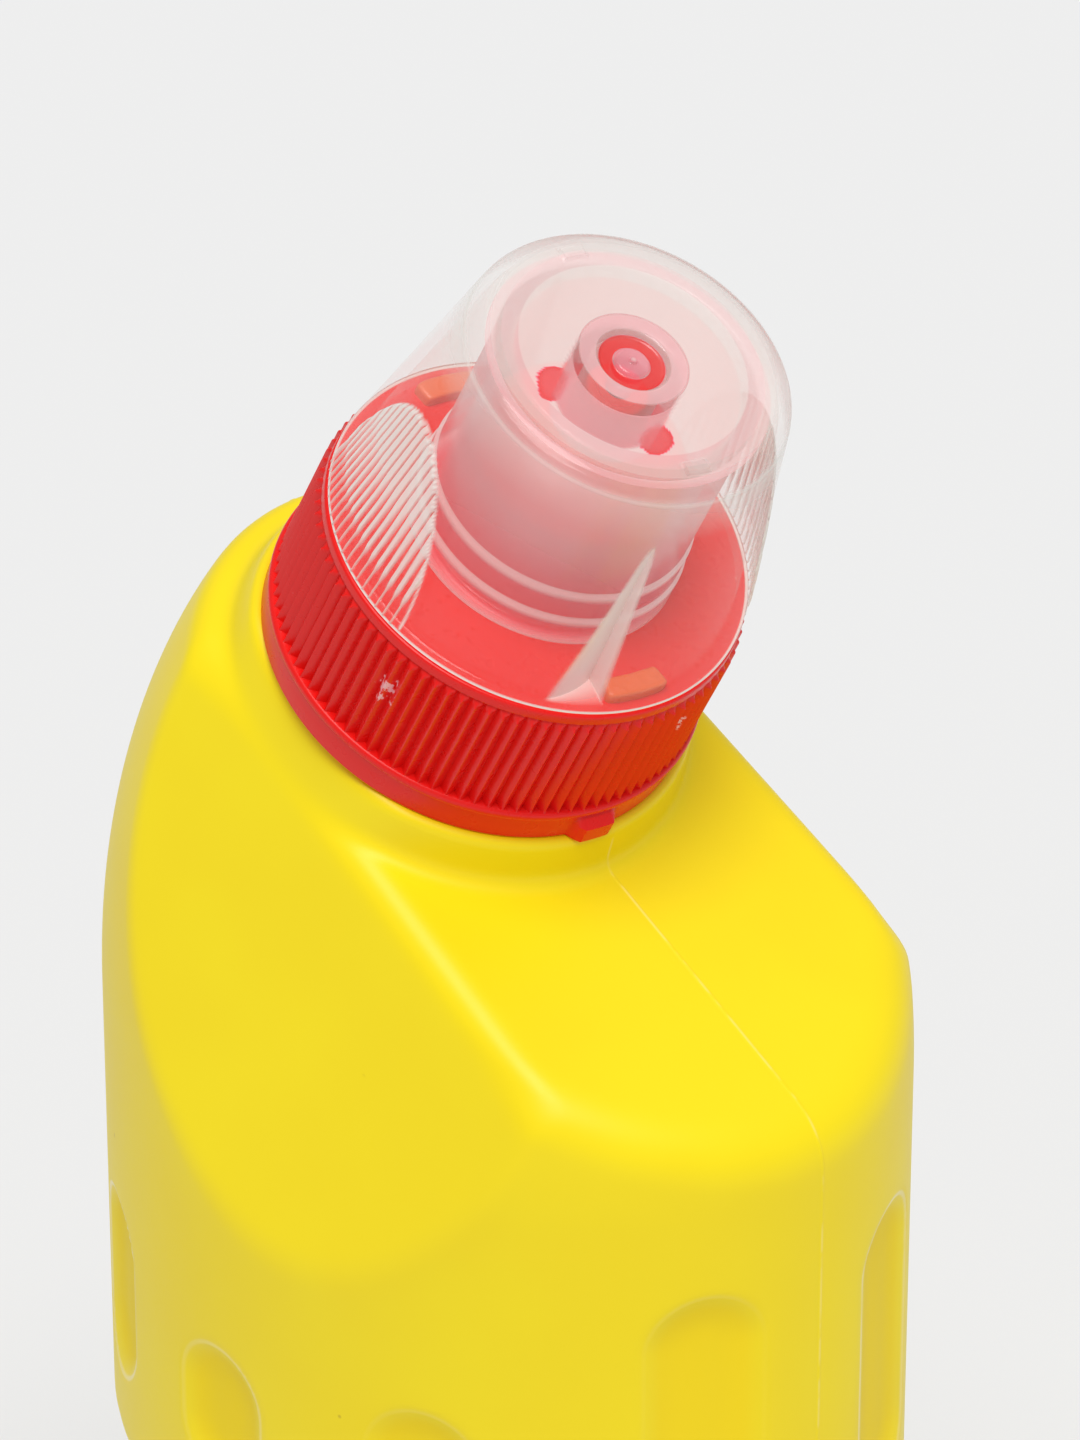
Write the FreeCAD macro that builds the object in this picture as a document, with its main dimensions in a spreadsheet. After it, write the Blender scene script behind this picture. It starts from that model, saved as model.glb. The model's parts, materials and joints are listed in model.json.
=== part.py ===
import FreeCAD, Part

import math
import os

import Sketcher

# A plastic bleach bottle with a tilted neck, a knurled screw collar with a moulded spout,
# and a clear overcap. Z is up, the bottle stands on Z = 0, and the neck leans towards +X.
# Sizes are millimetres and degrees. Heights that start with a neck word are measured
# along the neck axis from the sloping top face.

SIZES = {
    # body of the bottle
    "body_length": 90.0,
    "body_width": 72.0,
    "slope_edge_height": 158.0,
    "neck_tilt": 28.7,
    "dome_height": 63.0,
    "dome_start": -6.0,
    "wall": 1.2,
    "base_radius": 7.0,
    "base_pushup": 3.0,
    "pushup_margin": 9.0,
    "push_up_slope": 6.0,
    "panel_bottom": 26.0,
    "panel_top": 104.0,
    "panel_depth": 1.6,
    "panel_step": 7.0,
    # flat cheeks beside the sloping top
    "cheek_lean": 18.1,
    "cheek_turn": 7.3,
    "cheek_offset": 30.8,
    "crease_radius": 5.0,
    "front_edge_radius": 7.0,
    "cheek_edge_radius": 8.0,
    "back_edge_radius": 8.0,
    # finger recesses
    "grip_width": 12.5,
    "grip_depth": 1.3,
    "grip_bottom": 110.0,
    "grip_turn_1": 20.5,
    "grip_turn_2": 61.0,
    "grip_turn_3": 94.0,
    "grip_turn_4": 125.0,
    "grip_turn_5": 159.0,
    "grip_top_1": 143.5,
    "grip_top_2": 129.0,
    "grip_top_3": 126.5,
    "grip_top_4": 131.5,
    "grip_top_5": 139.0,
    # neck
    "neck_axis_x": -6.4,
    "neck_foot_radius": 23.8,
    "neck_foot_top_radius": 22.8,
    "neck_foot_height": 5.0,
    "neck_foot_root": 4.0,
    "neck_radius": 18.6,
    "neck_bore_radius": 16.6,
    "neck_height": 21.7,
    # collar with the spout
    "collar_lift": 5.6,
    "band_radius": 22.0,
    "band_height": 3.0,
    "collar_height": 18.1,
    "collar_skirt_gap": 0.4,
    "knurl_root_radius": 21.2,
    "knurl_tip_radius": 21.9,
    "knurl_count": 96,
    "knurl_groove_rise": 0.05,
    "knurl_overlap": 1.0,
    "collar_rim_radius": 21.4,
    "collar_rim_height": 1.3,
    "deck_wall": 2.0,
    "spout_radius": 11.0,
    "spout_wall": 1.4,
    "spout_height": 12.8,
    "spout_crown_radius": 9.2,
    "spout_crown_height": 3.1,
    "nozzle_root_radius": 3.5,
    "nozzle_root_height": 5.1,
    "nozzle_tip_radius": 3.1,
    "nozzle_height": 22.9,
    "nozzle_wall": 1.1,
    "orifice_radius": 1.2,
    "orifice_depth": 1.2,
    "stop_lug_radius": 19.3,
    "stop_lug_depth": 2.2,
    "stop_lug_start": -15.0,
    "stop_lug_end": 2.0,
    "stop_lug_height": 2.3,
    "band_lug_start": -14.7,
    "band_lug_end": -1.3,
    "band_lug_depth": 1.2,
    "band_lug_bevel": 2.5,
    # overcap
    "cap_gap": 0.2,
    "cap_height": 27.0,
    "cap_mouth_radius": 21.3,
    "cap_roof_radius": 16.05,
    "cap_wall": 1.2,
    "cap_roof_wall": 1.5,
    "cap_corner_radius": 2.2,
    "inner_skirt_radius": 13.0,
    "inner_skirt_gap": 0.5,
    "inner_skirt_lift": 0.8,
    "thread_step": 0.35,
    "thread_step_height": 3.3,
    "tube_radius": 5.3,
    "tube_gap": 0.4,
    "tube_height": 9.0,
    "plug_radius": 0.9,
    "plug_root_radius": 1.7,
    "plug_depth": 4.9,
    "plug_root_depth": 2.7,
    "dimple_radius": 3.6,
    "dimple_depth": 0.7,
    "fin_start": -39.0,
    "fin_end": -21.0,
    "fin_depth": 3.0,
    "fin_height": 19.6,
    "fin_tip_width": 3.0,
    "fin_tip_depth": 0.6,
    "fin_ridge_turn": 1.0,
    "pad_angle": -117.0,
    "pad_half_angle": 30.0,
    "pad_height": 17.5,
    "pad_rib_pitch": 3.0,
    "pad_rib_width": 0.45,
    "pad_rib_depth": 0.35,
    "roof_mark_angle": -12.0,
    "roof_mark_width": 2.8,
    "roof_mark_length": 1.5,
    "roof_mark_height": 0.3,
    "roof_mark_radius": 12.4,
}

GRIPS_EACH_SIDE = 5
PAD_RIBS_EACH_SIDE = 9

# A length, in mm, that is too short to matter when edges are told apart.
HAIR = 0.01

doc = FreeCAD.newDocument("BleachBottle")
sheet = doc.addObject("Spreadsheet::Sheet", "Sizes")
for row, (alias, value) in enumerate(SIZES.items(), start=1):
    sheet.set("A%d" % row, alias)
    sheet.set("B%d" % row, repr(value))
    sheet.setAlias("B%d" % row, alias)
doc.recompute()


def size(alias):
    """The present value of a driving size."""
    return float(sheet.get(alias))


def worked(expression):
    """The present value of an expression on the sheet, used to start a sketch near its place."""
    result = sheet.evalExpression(expression)
    return float(getattr(result, "Value", result))


def named(text):
    """An expression on the sheet, with each size's name turned into the sheet's own cell name."""
    out = []
    word = ""
    for letter in text + " ":
        if letter.isalnum() or letter == "_":
            word += letter
            continue
        out.append("Sizes." + word if word in SIZES else word)
        out.append(letter)
        word = ""
    return "".join(out).strip()


def bind(item, **expressions):
    """Bind properties of an object to expressions on the sheet."""
    for prop, text in expressions.items():
        item.setExpression(prop, named(text))
    return item


def place(x, y, z, turn="0", lean="0", roll="0"):
    """A placement expression: a corner, then turns about Z, the new Y and the new X."""
    return "placement(vector(%s; %s; %s); rotation(%s; %s; %s))" % (x, y, z, turn, lean, roll)


def placed(item, *steps):
    """Bind a placement made of one or more steps, each taken in the frame of the one before."""
    item.setExpression("Placement", named(" * ".join(steps)))
    return item


def primitive(kind, name, **expressions):
    """A Part primitive with its sizes bound to the sheet."""
    return bind(doc.addObject("Part::" + kind, name), **expressions)


def joined(name, items):
    """A union of objects."""
    union = doc.addObject("Part::MultiFuse", name)
    union.Shapes = items
    return union


def cut_away(name, base, tool):
    """One object with another taken out of it."""
    cut = doc.addObject("Part::Cut", name)
    cut.Base = base
    cut.Tool = tool
    return cut


def origin_plane(body, role):
    """The plane of a body's own origin with this role."""
    return [f for f in body.Origin.OriginFeatures if f.Role == role][0]


def outline(body, name, role, points, offset=None):
    """A closed sketch through points given as pairs of expressions, each bound to the sheet."""
    sketch = body.newObject("Sketcher::SketchObject", name)
    sketch.AttachmentSupport = [(origin_plane(body, role), "")]
    sketch.MapMode = "FlatFace"
    if offset is not None:
        sketch.setExpression("AttachmentOffset.Base.z", named(offset))
    spots = [FreeCAD.Vector(worked(named(u)), worked(named(v)), 0) for u, v in points]
    count = len(spots)
    for i, spot in enumerate(spots):
        sketch.addGeometry(Part.LineSegment(spot, spots[(i + 1) % count]), False)
    for i in range(count):
        sketch.addConstraint(Sketcher.Constraint("Coincident", i, 2, (i + 1) % count, 1))
    for i, pair in enumerate(points):
        for kind, text, value in zip(("DistanceX", "DistanceY"), pair, (spots[i].x, spots[i].y)):
            number = sketch.addConstraint(Sketcher.Constraint(kind, -1, 1, i, 1, value))
            sketch.setExpression("Constraints[%d]" % number, named(text))
    return sketch


def revolved(body, name, points):
    """A solid of revolution about the body's own Z axis, from a radius and height outline."""
    sketch = outline(body, name + "Outline", "XZ_Plane", points)
    spin = body.newObject("PartDesign::Revolution", name)
    spin.Profile = sketch
    spin.ReferenceAxis = (sketch, ["V_Axis"])
    spin.Angle = 360
    sketch.Visibility = False
    doc.recompute()
    return spin


def padded(body, name, points, start, length):
    """A pad of an outline in the XY plane, from a height and over a length."""
    sketch = outline(body, name + "Outline", "XY_Plane", points, offset=start)
    pad = body.newObject("PartDesign::Pad", name)
    pad.Profile = sketch
    pad.setExpression("Length", named(length))
    return pad


def patterned(body, name, feature, count):
    """The same feature again, evenly round the body's Z axis."""
    doc.recompute()
    pattern = body.newObject("PartDesign::PolarPattern", name)
    pattern.Originals = [feature]
    pattern.Axis = (feature.Profile[0], ["N_Axis"])
    pattern.Angle = 360
    pattern.Occurrences = count
    body.Tip = pattern
    doc.recompute()
    return pattern


def on_circle(radius, angle):
    """A point on a circle, as a pair of expressions."""
    return ("(%s) * cos(%s)" % (radius, angle), "(%s) * sin(%s)" % (radius, angle))


NECK = place("neck_axis_x", "0",
             "slope_edge_height + (body_length / 2 - neck_axis_x) * tan(neck_tilt)",
             lean="neck_tilt")

# Oval body of the bottle. Each level is an ellipse, smaller than the full plan by its inset.
ARC_STEPS = 4
REACH = "2 * body_length"


def body_levels(less):
    """Height and inset of each ellipse of the body, from the base up."""
    levels = []
    for step in range(ARC_STEPS + 1):
        angle = 90.0 * step / ARC_STEPS
        levels.append(("%s + (base_radius - %s) * (1 - cos(%s))" % (less, less, angle),
                       "%s + (base_radius - %s) * (1 - sin(%s))" % (less, less, angle)))
    levels.append(("panel_bottom", less))
    levels.append(("panel_bottom + panel_step", "%s + panel_depth" % less))
    levels.append(("panel_top - panel_step", "%s + panel_depth" % less))
    levels.append(("panel_top", less))
    levels.append(("slope_edge_height + dome_start", less))
    return levels


def body_form(name, less):
    """The closed body, every face moved inwards: an oval tower and dome, cut by flat faces."""
    rings = []
    for number, (height, inset) in enumerate(body_levels(less)):
        ring = primitive("Ellipse", "%sLevel%d" % (name, number),
                         MajorRadius="body_length / 2 - (%s)" % inset,
                         MinorRadius="body_width / 2 - (%s)" % inset)
        rings.append(placed(ring, place("0", "0", height)))
    tower = doc.addObject("Part::Loft", name + "Tower")
    tower.Sections = rings
    tower.Solid = True
    tower.Ruled = True
    dome = primitive("Ellipsoid", name + "Dome",
                     Radius1="dome_height - %s" % less,
                     Radius2="body_length / 2 - %s" % less,
                     Radius3="body_width / 2 - %s" % less)
    dome.Angle1 = 0
    dome.Angle2 = 90
    placed(dome, place("0", "0", "slope_edge_height + dome_start"))
    slope = primitive("Box", name + "Slope", Length=REACH, Width=REACH, Height=REACH)
    placed(slope,
           place("body_length / 2", "0", "slope_edge_height", lean="neck_tilt"),
           place("-(%s) / 2" % REACH, "-(%s) / 2" % REACH, "-(%s)" % less))
    cutters = [slope]
    for side, sign, start in (("Right", "-1", "-(%s) + %s" % (REACH, less)),
                              ("Left", "1", "-(%s)" % less)):
        cheek = primitive("Box", name + "Cheek" + side, Length=REACH, Width=REACH, Height=REACH)
        placed(cheek,
               place("0", "%s * cheek_offset" % sign, "slope_edge_height",
                     turn="-(%s) * cheek_turn" % sign, roll="%s * cheek_lean" % sign),
               place("-(%s) / 2" % REACH, start, "-(%s) / 2" % REACH))
        cutters.append(cheek)
    return cut_away(name, joined(name + "Bulk", [tower, dome]), joined(name + "Cuts", cutters))


def grip_cutters(inside):
    """Upright round-ended troughs pressed into the body, in pairs about the middle plane."""
    grow = "%s * wall" % inside
    bend = "(grip_width ^ 2 / (8 * grip_depth) + grip_depth / 2)"
    out = "(%s - grip_depth)" % bend
    radius = "%s + %s" % (bend, grow)
    foot = "grip_bottom + grip_width / 2"
    cutters = []
    for number in range(1, GRIPS_EACH_SIDE + 1):
        top = "grip_top_%d" % number
        for side in (1, -1):
            turn = "(%d * grip_turn_%d)" % (side, number)
            facing = "atan2(sin(%s) / body_width; cos(%s) / body_length)" % (turn, turn)
            name = "Grip%s%d%s" % ("In" if inside else "", number, "Left" if side > 0 else "Right")
            spot = ("body_length / 2 * cos(%s)" % turn, "body_width / 2 * sin(%s)" % turn)
            middle = place(out, "0", "0")
            trough = primitive("Cylinder", name, Radius=radius,
                               Height="%s - grip_width / 2 - (%s)" % (top, foot))
            placed(trough, place(*spot, foot, turn=facing), middle)
            low = primitive("Sphere", name + "Low", Radius=radius)
            placed(low, place(*spot, foot, turn=facing), middle)
            high = primitive("Sphere", name + "High", Radius=radius)
            placed(high, place(*spot, "%s - grip_width / 2" % top, turn=facing), middle)
            cutters.append(joined(name + "Trough", [trough, low, high]))
    return cutters


def push_up(name, less):
    """The hollow under the base, a low oval cone."""
    rings = []
    for level, (height, inset) in enumerate((("-wall", "0"), ("base_pushup", "push_up_slope"))):
        ring = primitive("Ellipse", "%sLevel%d" % (name, level),
                         MajorRadius="body_length / 2 - pushup_margin - %s + %s" % (inset, less),
                         MinorRadius="body_width / 2 - pushup_margin - %s + %s" % (inset, less))
        rings.append(placed(ring, place("0", "0", "%s + %s" % (height, less))))
    cone = doc.addObject("Part::Loft", name)
    cone.Sections = rings
    cone.Solid = True
    cone.Ruled = True
    return cone


def softened(name, form, less):
    """The body with its upper edges rounded: the creases least, the back and the cheeks most."""
    doc.recompute()
    blend = doc.addObject("Part::Fillet", name)
    blend.Base = form
    picked = []
    slope_foot = size("slope_edge_height")
    for number, edge in enumerate(form.Shape.Edges, start=1):
        box = edge.BoundBox
        level = box.ZMax - box.ZMin < HAIR
        seam = box.YMax - box.YMin < HAIR
        if level or seam or box.ZMin < size("panel_top") + HAIR:
            continue
        if box.ZMin < slope_foot - HAIR:
            radius = size("cheek_edge_radius")
        elif box.XMin > 0:
            radius = size("front_edge_radius")
        elif box.XMax > 0:
            radius = size("crease_radius")
        else:
            radius = size("back_edge_radius")
        picked.append((number, radius - less, radius - less))
    blend.Edges = picked
    return blend


# Bottle: blown in one piece, hollow, with finger recesses, a raised neck foot and a plain neck.
def neck_pillar(name, points):
    """A solid of revolution about the neck axis."""
    pillar = doc.addObject("PartDesign::Body", name)
    placed(pillar, NECK)
    revolved(pillar, name + "Turn", points)
    return pillar


outer = softened("OuterSoft", body_form("Outer", "0"), 0.0)
inner = softened("InnerSoft", body_form("Inner", "wall"), size("wall"))
neck_stem = neck_pillar("NeckStem", [
    ("0", "-neck_foot_root"),
    ("neck_foot_radius", "-neck_foot_root"),
    ("neck_foot_radius", "0"),
    ("neck_foot_top_radius", "neck_foot_height"),
    ("neck_radius", "neck_foot_height"),
    ("neck_radius", "neck_height"),
    ("0", "neck_height"),
])
neck_bore = neck_pillar("NeckBore", [
    ("0", "-neck_foot_root - wall"),
    ("neck_bore_radius", "-neck_foot_root - wall"),
    ("neck_bore_radius", "neck_height + wall"),
    ("0", "neck_height + wall"),
])
shell = cut_away("PressedBody", outer,
                 joined("Pressings", grip_cutters(0) + [push_up("PushUp", "0")]))
cavity = cut_away("CavityBody", inner,
                  joined("PressingsInside", grip_cutters(1) + [push_up("PushUpInside", "wall")]))
bottle = cut_away("Bottle", joined("BottleSolid", [shell, neck_stem]),
                  joined("BottleHollow", [cavity, neck_bore]))
bottle.Label = "bottle"


# Collar and spout, moulded in one piece. It is modelled along its own axis.
COLLAR_TOP = "(collar_lift + collar_height)"
BAND_TOP = "(collar_lift + band_height)"
RIM_FOOT = "(%s - collar_rim_height)" % COLLAR_TOP
SKIRT_INSIDE = "(neck_radius + collar_skirt_gap)"
SPOUT_TOP = "(%s + spout_height)" % COLLAR_TOP
CROWN_TOP = "(%s + spout_crown_height)" % SPOUT_TOP
NOZZLE_ROOT = "(%s + nozzle_root_height)" % SPOUT_TOP
NOZZLE_TIP = "(%s + nozzle_height)" % COLLAR_TOP

collar_body = doc.addObject("PartDesign::Body", "CollarBody")
revolved(collar_body, "CollarTurn", [
    (SKIRT_INSIDE, "collar_lift"),
    ("band_radius", "collar_lift"),
    ("band_radius", BAND_TOP),
    ("knurl_root_radius", BAND_TOP),
    ("knurl_root_radius", RIM_FOOT),
    ("collar_rim_radius", RIM_FOOT),
    ("collar_rim_radius", COLLAR_TOP),
    ("spout_radius", COLLAR_TOP),
    ("spout_radius", SPOUT_TOP),
    ("spout_crown_radius", CROWN_TOP),
    ("nozzle_root_radius", NOZZLE_ROOT),
    ("nozzle_tip_radius", NOZZLE_TIP),
    ("orifice_radius", NOZZLE_TIP),
    ("orifice_radius", NOZZLE_TIP + " - orifice_depth"),
    ("nozzle_tip_radius - nozzle_wall", NOZZLE_TIP + " - orifice_depth - nozzle_wall / 2"),
    ("nozzle_root_radius - nozzle_wall", NOZZLE_ROOT),
    ("spout_crown_radius - spout_wall / 2", CROWN_TOP + " - spout_wall"),
    ("spout_radius - spout_wall", SPOUT_TOP + " - spout_wall / 2"),
    ("spout_radius - spout_wall", "neck_height"),
    (SKIRT_INSIDE, "neck_height"),
])
stop_lug = padded(collar_body, "StopLug", [
    on_circle("stop_lug_radius - stop_lug_depth", "stop_lug_start"),
    on_circle("stop_lug_radius", "stop_lug_start"),
    on_circle("stop_lug_radius", "(stop_lug_start + stop_lug_end) / 2"),
    on_circle("stop_lug_radius", "stop_lug_end"),
    on_circle("stop_lug_radius - stop_lug_depth", "stop_lug_end"),
], COLLAR_TOP + " - deck_wall / 2", "stop_lug_height + deck_wall / 2")
patterned(collar_body, "StopLugs", stop_lug, 2)
band_lug = padded(collar_body, "BandLug", [
    on_circle("knurl_root_radius", "band_lug_start"),
    on_circle("band_radius", "band_lug_start"),
    on_circle("band_radius + band_lug_depth", "band_lug_start + band_lug_bevel"),
    on_circle("band_radius + band_lug_depth", "band_lug_end - band_lug_bevel"),
    on_circle("band_radius", "band_lug_end"),
    on_circle("knurl_root_radius", "band_lug_end"),
], "collar_lift", "band_height")
patterned(collar_body, "BandLugs", band_lug, 2)


def knurl_ring():
    """A ring with an even row of pointed ridges round it, standing on the height of its foot."""
    count = int(size("knurl_count"))
    step = 360.0 / count
    foot = worked(named(BAND_TOP))
    height = worked(named(RIM_FOOT)) - foot
    groove = size("knurl_root_radius") + size("knurl_groove_rise")
    inside = size("knurl_root_radius") - size("knurl_overlap")
    corners = []
    for number in range(count):
        for radius, turn in ((groove, 0.0), (size("knurl_tip_radius"), 0.5)):
            angle = math.radians((number + turn) * step)
            corners.append(FreeCAD.Vector(radius * math.cos(angle), radius * math.sin(angle), foot))
    face = Part.Face(Part.makePolygon(corners + corners[:1]))
    ring = face.extrude(FreeCAD.Vector(0, 0, height))
    return ring.cut(Part.makeCylinder(inside, height, FreeCAD.Vector(0, 0, foot)))


knurls = doc.addObject("Part::Feature", "Knurls")
knurls.Shape = knurl_ring()
collar = joined("NozzleCollar", [collar_body, knurls])
collar.Label = "nozzle_collar"
placed(collar, NECK)


# Clear overcap, moulded in one piece: outer skirt, roof, inner skirt, seal tube and plug.
CAP_FOOT = "(%s + cap_gap)" % COLLAR_TOP
ROOF_TOP = "(%s + cap_height)" % CAP_FOOT
ROOF_UNDER = "(%s - cap_roof_wall)" % ROOF_TOP
TAPER = "((cap_mouth_radius - cap_roof_radius) / cap_height)"
INNER_FOOT = "(%s + inner_skirt_lift)" % CAP_FOOT
INNER_BORE = "(spout_radius + inner_skirt_gap)"

cap_body = doc.addObject("PartDesign::Body", "CapBody")
cap_turn = revolved(cap_body, "CapTurn", [
    ("cap_mouth_radius - cap_wall", CAP_FOOT),
    ("cap_mouth_radius", CAP_FOOT),
    ("cap_roof_radius", ROOF_TOP),
    ("dimple_radius", ROOF_TOP),
    ("dimple_radius - dimple_depth / 2", ROOF_TOP + " - dimple_depth"),
    ("0", ROOF_TOP + " - dimple_depth"),
    ("0", ROOF_TOP + " - plug_depth"),
    ("plug_radius", ROOF_TOP + " - plug_depth"),
    ("plug_root_radius", ROOF_TOP + " - plug_root_depth"),
    ("plug_root_radius", ROOF_UNDER),
    ("nozzle_root_radius + tube_gap", ROOF_UNDER),
    ("nozzle_root_radius + tube_gap", ROOF_TOP + " - tube_height"),
    ("tube_radius", ROOF_TOP + " - tube_height"),
    ("tube_radius", ROOF_UNDER),
    (INNER_BORE, ROOF_UNDER),
    (INNER_BORE, INNER_FOOT),
    ("inner_skirt_radius + 2 * thread_step", INNER_FOOT),
    ("inner_skirt_radius + 2 * thread_step", INNER_FOOT + " + thread_step_height"),
    ("inner_skirt_radius + thread_step", INNER_FOOT + " + thread_step_height + thread_step"),
    ("inner_skirt_radius + thread_step", INNER_FOOT + " + 2 * thread_step_height"),
    ("inner_skirt_radius", INNER_FOOT + " + 2 * thread_step_height + thread_step"),
    ("inner_skirt_radius", ROOF_UNDER),
    ("cap_roof_radius + %s * cap_roof_wall - cap_wall" % TAPER, ROOF_UNDER),
])
rim_edges = []
for number, edge in enumerate(cap_turn.Shape.Edges, start=1):
    box = edge.BoundBox
    at_roof = abs(box.ZMax - worked(named(ROOF_TOP))) < HAIR and box.ZMax - box.ZMin < HAIR
    if at_roof and box.XMax > size("dimple_radius") + HAIR:
        rim_edges.append("Edge%d" % number)
cap_corner = cap_body.newObject("PartDesign::Fillet", "CapCorner")
cap_corner.Base = (cap_turn, rim_edges)
cap_corner.setExpression("Radius", named("cap_corner_radius"))
doc.recompute()

WALL_MIDDLE = "(cap_mouth_radius - cap_wall / 2 - %s * (%s))"
fin_foot = outline(cap_body, "FinFoot", "XY_Plane", [
    on_circle(WALL_MIDDLE % (TAPER, "0"), "fin_start"),
    on_circle(WALL_MIDDLE % (TAPER, "0"), "fin_end"),
    on_circle(WALL_MIDDLE % (TAPER, "0") + " - fin_depth", "fin_end - fin_ridge_turn"),
], offset=CAP_FOOT)
fin_tip = outline(cap_body, "FinTip", "XY_Plane", [
    on_circle(WALL_MIDDLE % (TAPER, "fin_height"), "fin_end - fin_tip_width"),
    on_circle(WALL_MIDDLE % (TAPER, "fin_height"), "fin_end"),
    on_circle(WALL_MIDDLE % (TAPER, "fin_height") + " - cap_wall / 2 - fin_tip_depth",
              "fin_end - fin_ridge_turn"),
], offset=CAP_FOOT + " + fin_height")
fin = cap_body.newObject("PartDesign::AdditiveLoft", "Fin")
fin.Profile = fin_foot
fin.Sections = [fin_tip]
fin.Ruled = True
doc.recompute()
fins = cap_body.newObject("PartDesign::PolarPattern", "Fins")
fins.Originals = [fin]
fins.Axis = (fin_foot, ["N_Axis"])
fins.Angle = 360
fins.Occurrences = 2
cap_body.Tip = fins
doc.recompute()


def pad_ribs():
    """Upright ribs on both squeeze pads, each as tall as the arched outline of its pad allows."""
    ribs = []
    for side in (0, 180):
        for step in range(-PAD_RIBS_EACH_SIDE, PAD_RIBS_EACH_SIDE + 1):
            off = "(%d * pad_rib_pitch)" % step
            rise = "(pad_height * sqrt(1 - (%s / pad_half_angle) ^ 2))" % off
            name = "Rib%s%d" % ("A" if side == 0 else "B", step + PAD_RIBS_EACH_SIDE)
            rib = primitive("Box", name, Length="pad_rib_depth + cap_wall / 2",
                            Width="pad_rib_width", Height=rise)
            placed(rib,
                   place("0", "0", CAP_FOOT, turn="pad_angle + %d + %s" % (side, off)),
                   place("cap_mouth_radius - cap_wall / 2", "0", "0", lean="-atan(%s)" % TAPER),
                   place("0", "-pad_rib_width / 2", "0"))
            ribs.append(rib)
    return ribs


def roof_marks():
    """Two small plain blocks on opposite sides of the roof."""
    marks = []
    for side in (0, 180):
        mark = primitive("Box", "RoofMark%d" % side, Length="roof_mark_length",
                         Width="roof_mark_width", Height="roof_mark_height + cap_roof_wall / 2")
        placed(mark,
               place("0", "0", ROOF_TOP + " - cap_roof_wall / 2",
                     turn="roof_mark_angle + %d" % side),
               place("roof_mark_radius", "-roof_mark_width / 2", "0"))
        marks.append(mark)
    return marks


cap = joined("Overcap", [cap_body] + pad_ribs() + roof_marks())
cap.Label = "overcap"
placed(cap, NECK)


# Every object and every finished piece is tested before anything is written.
doc.recompute()
PIECES = [bottle, collar, cap]
for item in doc.Objects:
    if "Invalid" in item.State or "Error" in item.State:
        raise RuntimeError("%s failed: %s" % (item.Name, item.State))
for piece in PIECES:
    if piece.Shape.isNull() or not piece.Shape.isValid():
        raise RuntimeError("%s has no valid shape" % piece.Label)
    if len(piece.Shape.Solids) != 1:
        raise RuntimeError("%s has %d solids" % (piece.Label, len(piece.Shape.Solids)))

# Each piece goes to a file of its own, in the frame of the bottle.
os.makedirs("parts", exist_ok=True)
for piece in PIECES:
    piece.Shape.exportStep(os.path.join("parts", piece.Label + ".step"))
    box = piece.Shape.BoundBox
    print("%s: volume %.1f cm3, X %.1f..%.1f, Y %.1f..%.1f, Z %.1f..%.1f" % (
        piece.Label, piece.Shape.Volume / 1000, box.XMin, box.XMax, box.YMin, box.YMax,
        box.ZMin, box.ZMax))
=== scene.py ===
import json
import math

import bpy
import numpy as np
from bpy.props import FloatProperty, FloatVectorProperty, PointerProperty
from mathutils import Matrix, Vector


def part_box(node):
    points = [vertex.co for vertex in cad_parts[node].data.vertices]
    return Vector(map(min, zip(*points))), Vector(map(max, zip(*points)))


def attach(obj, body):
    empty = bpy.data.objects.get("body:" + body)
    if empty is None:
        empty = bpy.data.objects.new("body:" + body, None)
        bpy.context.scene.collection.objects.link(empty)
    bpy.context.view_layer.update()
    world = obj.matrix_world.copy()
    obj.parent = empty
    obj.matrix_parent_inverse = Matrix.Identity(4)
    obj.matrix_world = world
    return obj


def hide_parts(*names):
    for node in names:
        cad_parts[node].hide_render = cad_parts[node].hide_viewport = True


bl_info = {
    "name": "Tilted neck cleaner bottle",
    "version": (1, 0, 0),
    "blender": (4, 5, 0),
    "location": "3D View > Sidebar > Bottle",
    "description": "Dresses the bottle, its knurled collar with the spout, and its clear overcap",
    "category": "Add Mesh",
}

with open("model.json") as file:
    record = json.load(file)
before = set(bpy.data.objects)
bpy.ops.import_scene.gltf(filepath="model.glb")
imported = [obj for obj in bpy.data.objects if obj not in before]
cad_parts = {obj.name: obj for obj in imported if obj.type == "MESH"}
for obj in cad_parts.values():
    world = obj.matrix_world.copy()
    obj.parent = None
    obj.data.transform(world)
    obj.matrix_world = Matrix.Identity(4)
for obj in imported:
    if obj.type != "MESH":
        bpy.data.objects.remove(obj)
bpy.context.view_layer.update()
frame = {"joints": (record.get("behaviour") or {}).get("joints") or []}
MM = 0.001
TURN = 2 * math.pi

BOTTLE_LOW, BOTTLE_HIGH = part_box("bottle")
NECK_AXIS = np.array(frame["joints"][0]["axis"])
NECK_TILT = math.atan2(NECK_AXIS[0], NECK_AXIS[2])
NECK_FRONT = np.array([math.cos(NECK_TILT), 0.0, -math.sin(NECK_TILT)])
ACROSS = np.array([0.0, 1.0, 0.0])


def length(name, description, millimetres):
    """A size that a user may change, shown in the scene's units."""
    return FloatProperty(name=name, description=description, default=millimetres * MM,
                         unit="LENGTH", precision=5)


def angle(name, description, degrees):
    """An angle that a user may change."""
    return FloatProperty(name=name, description=description, default=math.radians(degrees),
                         subtype="ANGLE")


def colour(name, description, value):
    """A finish colour that a user may change, in linear light."""
    return FloatVectorProperty(name=name, description=description, default=value, size=3,
                               subtype="COLOR", min=0, max=1)


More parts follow.
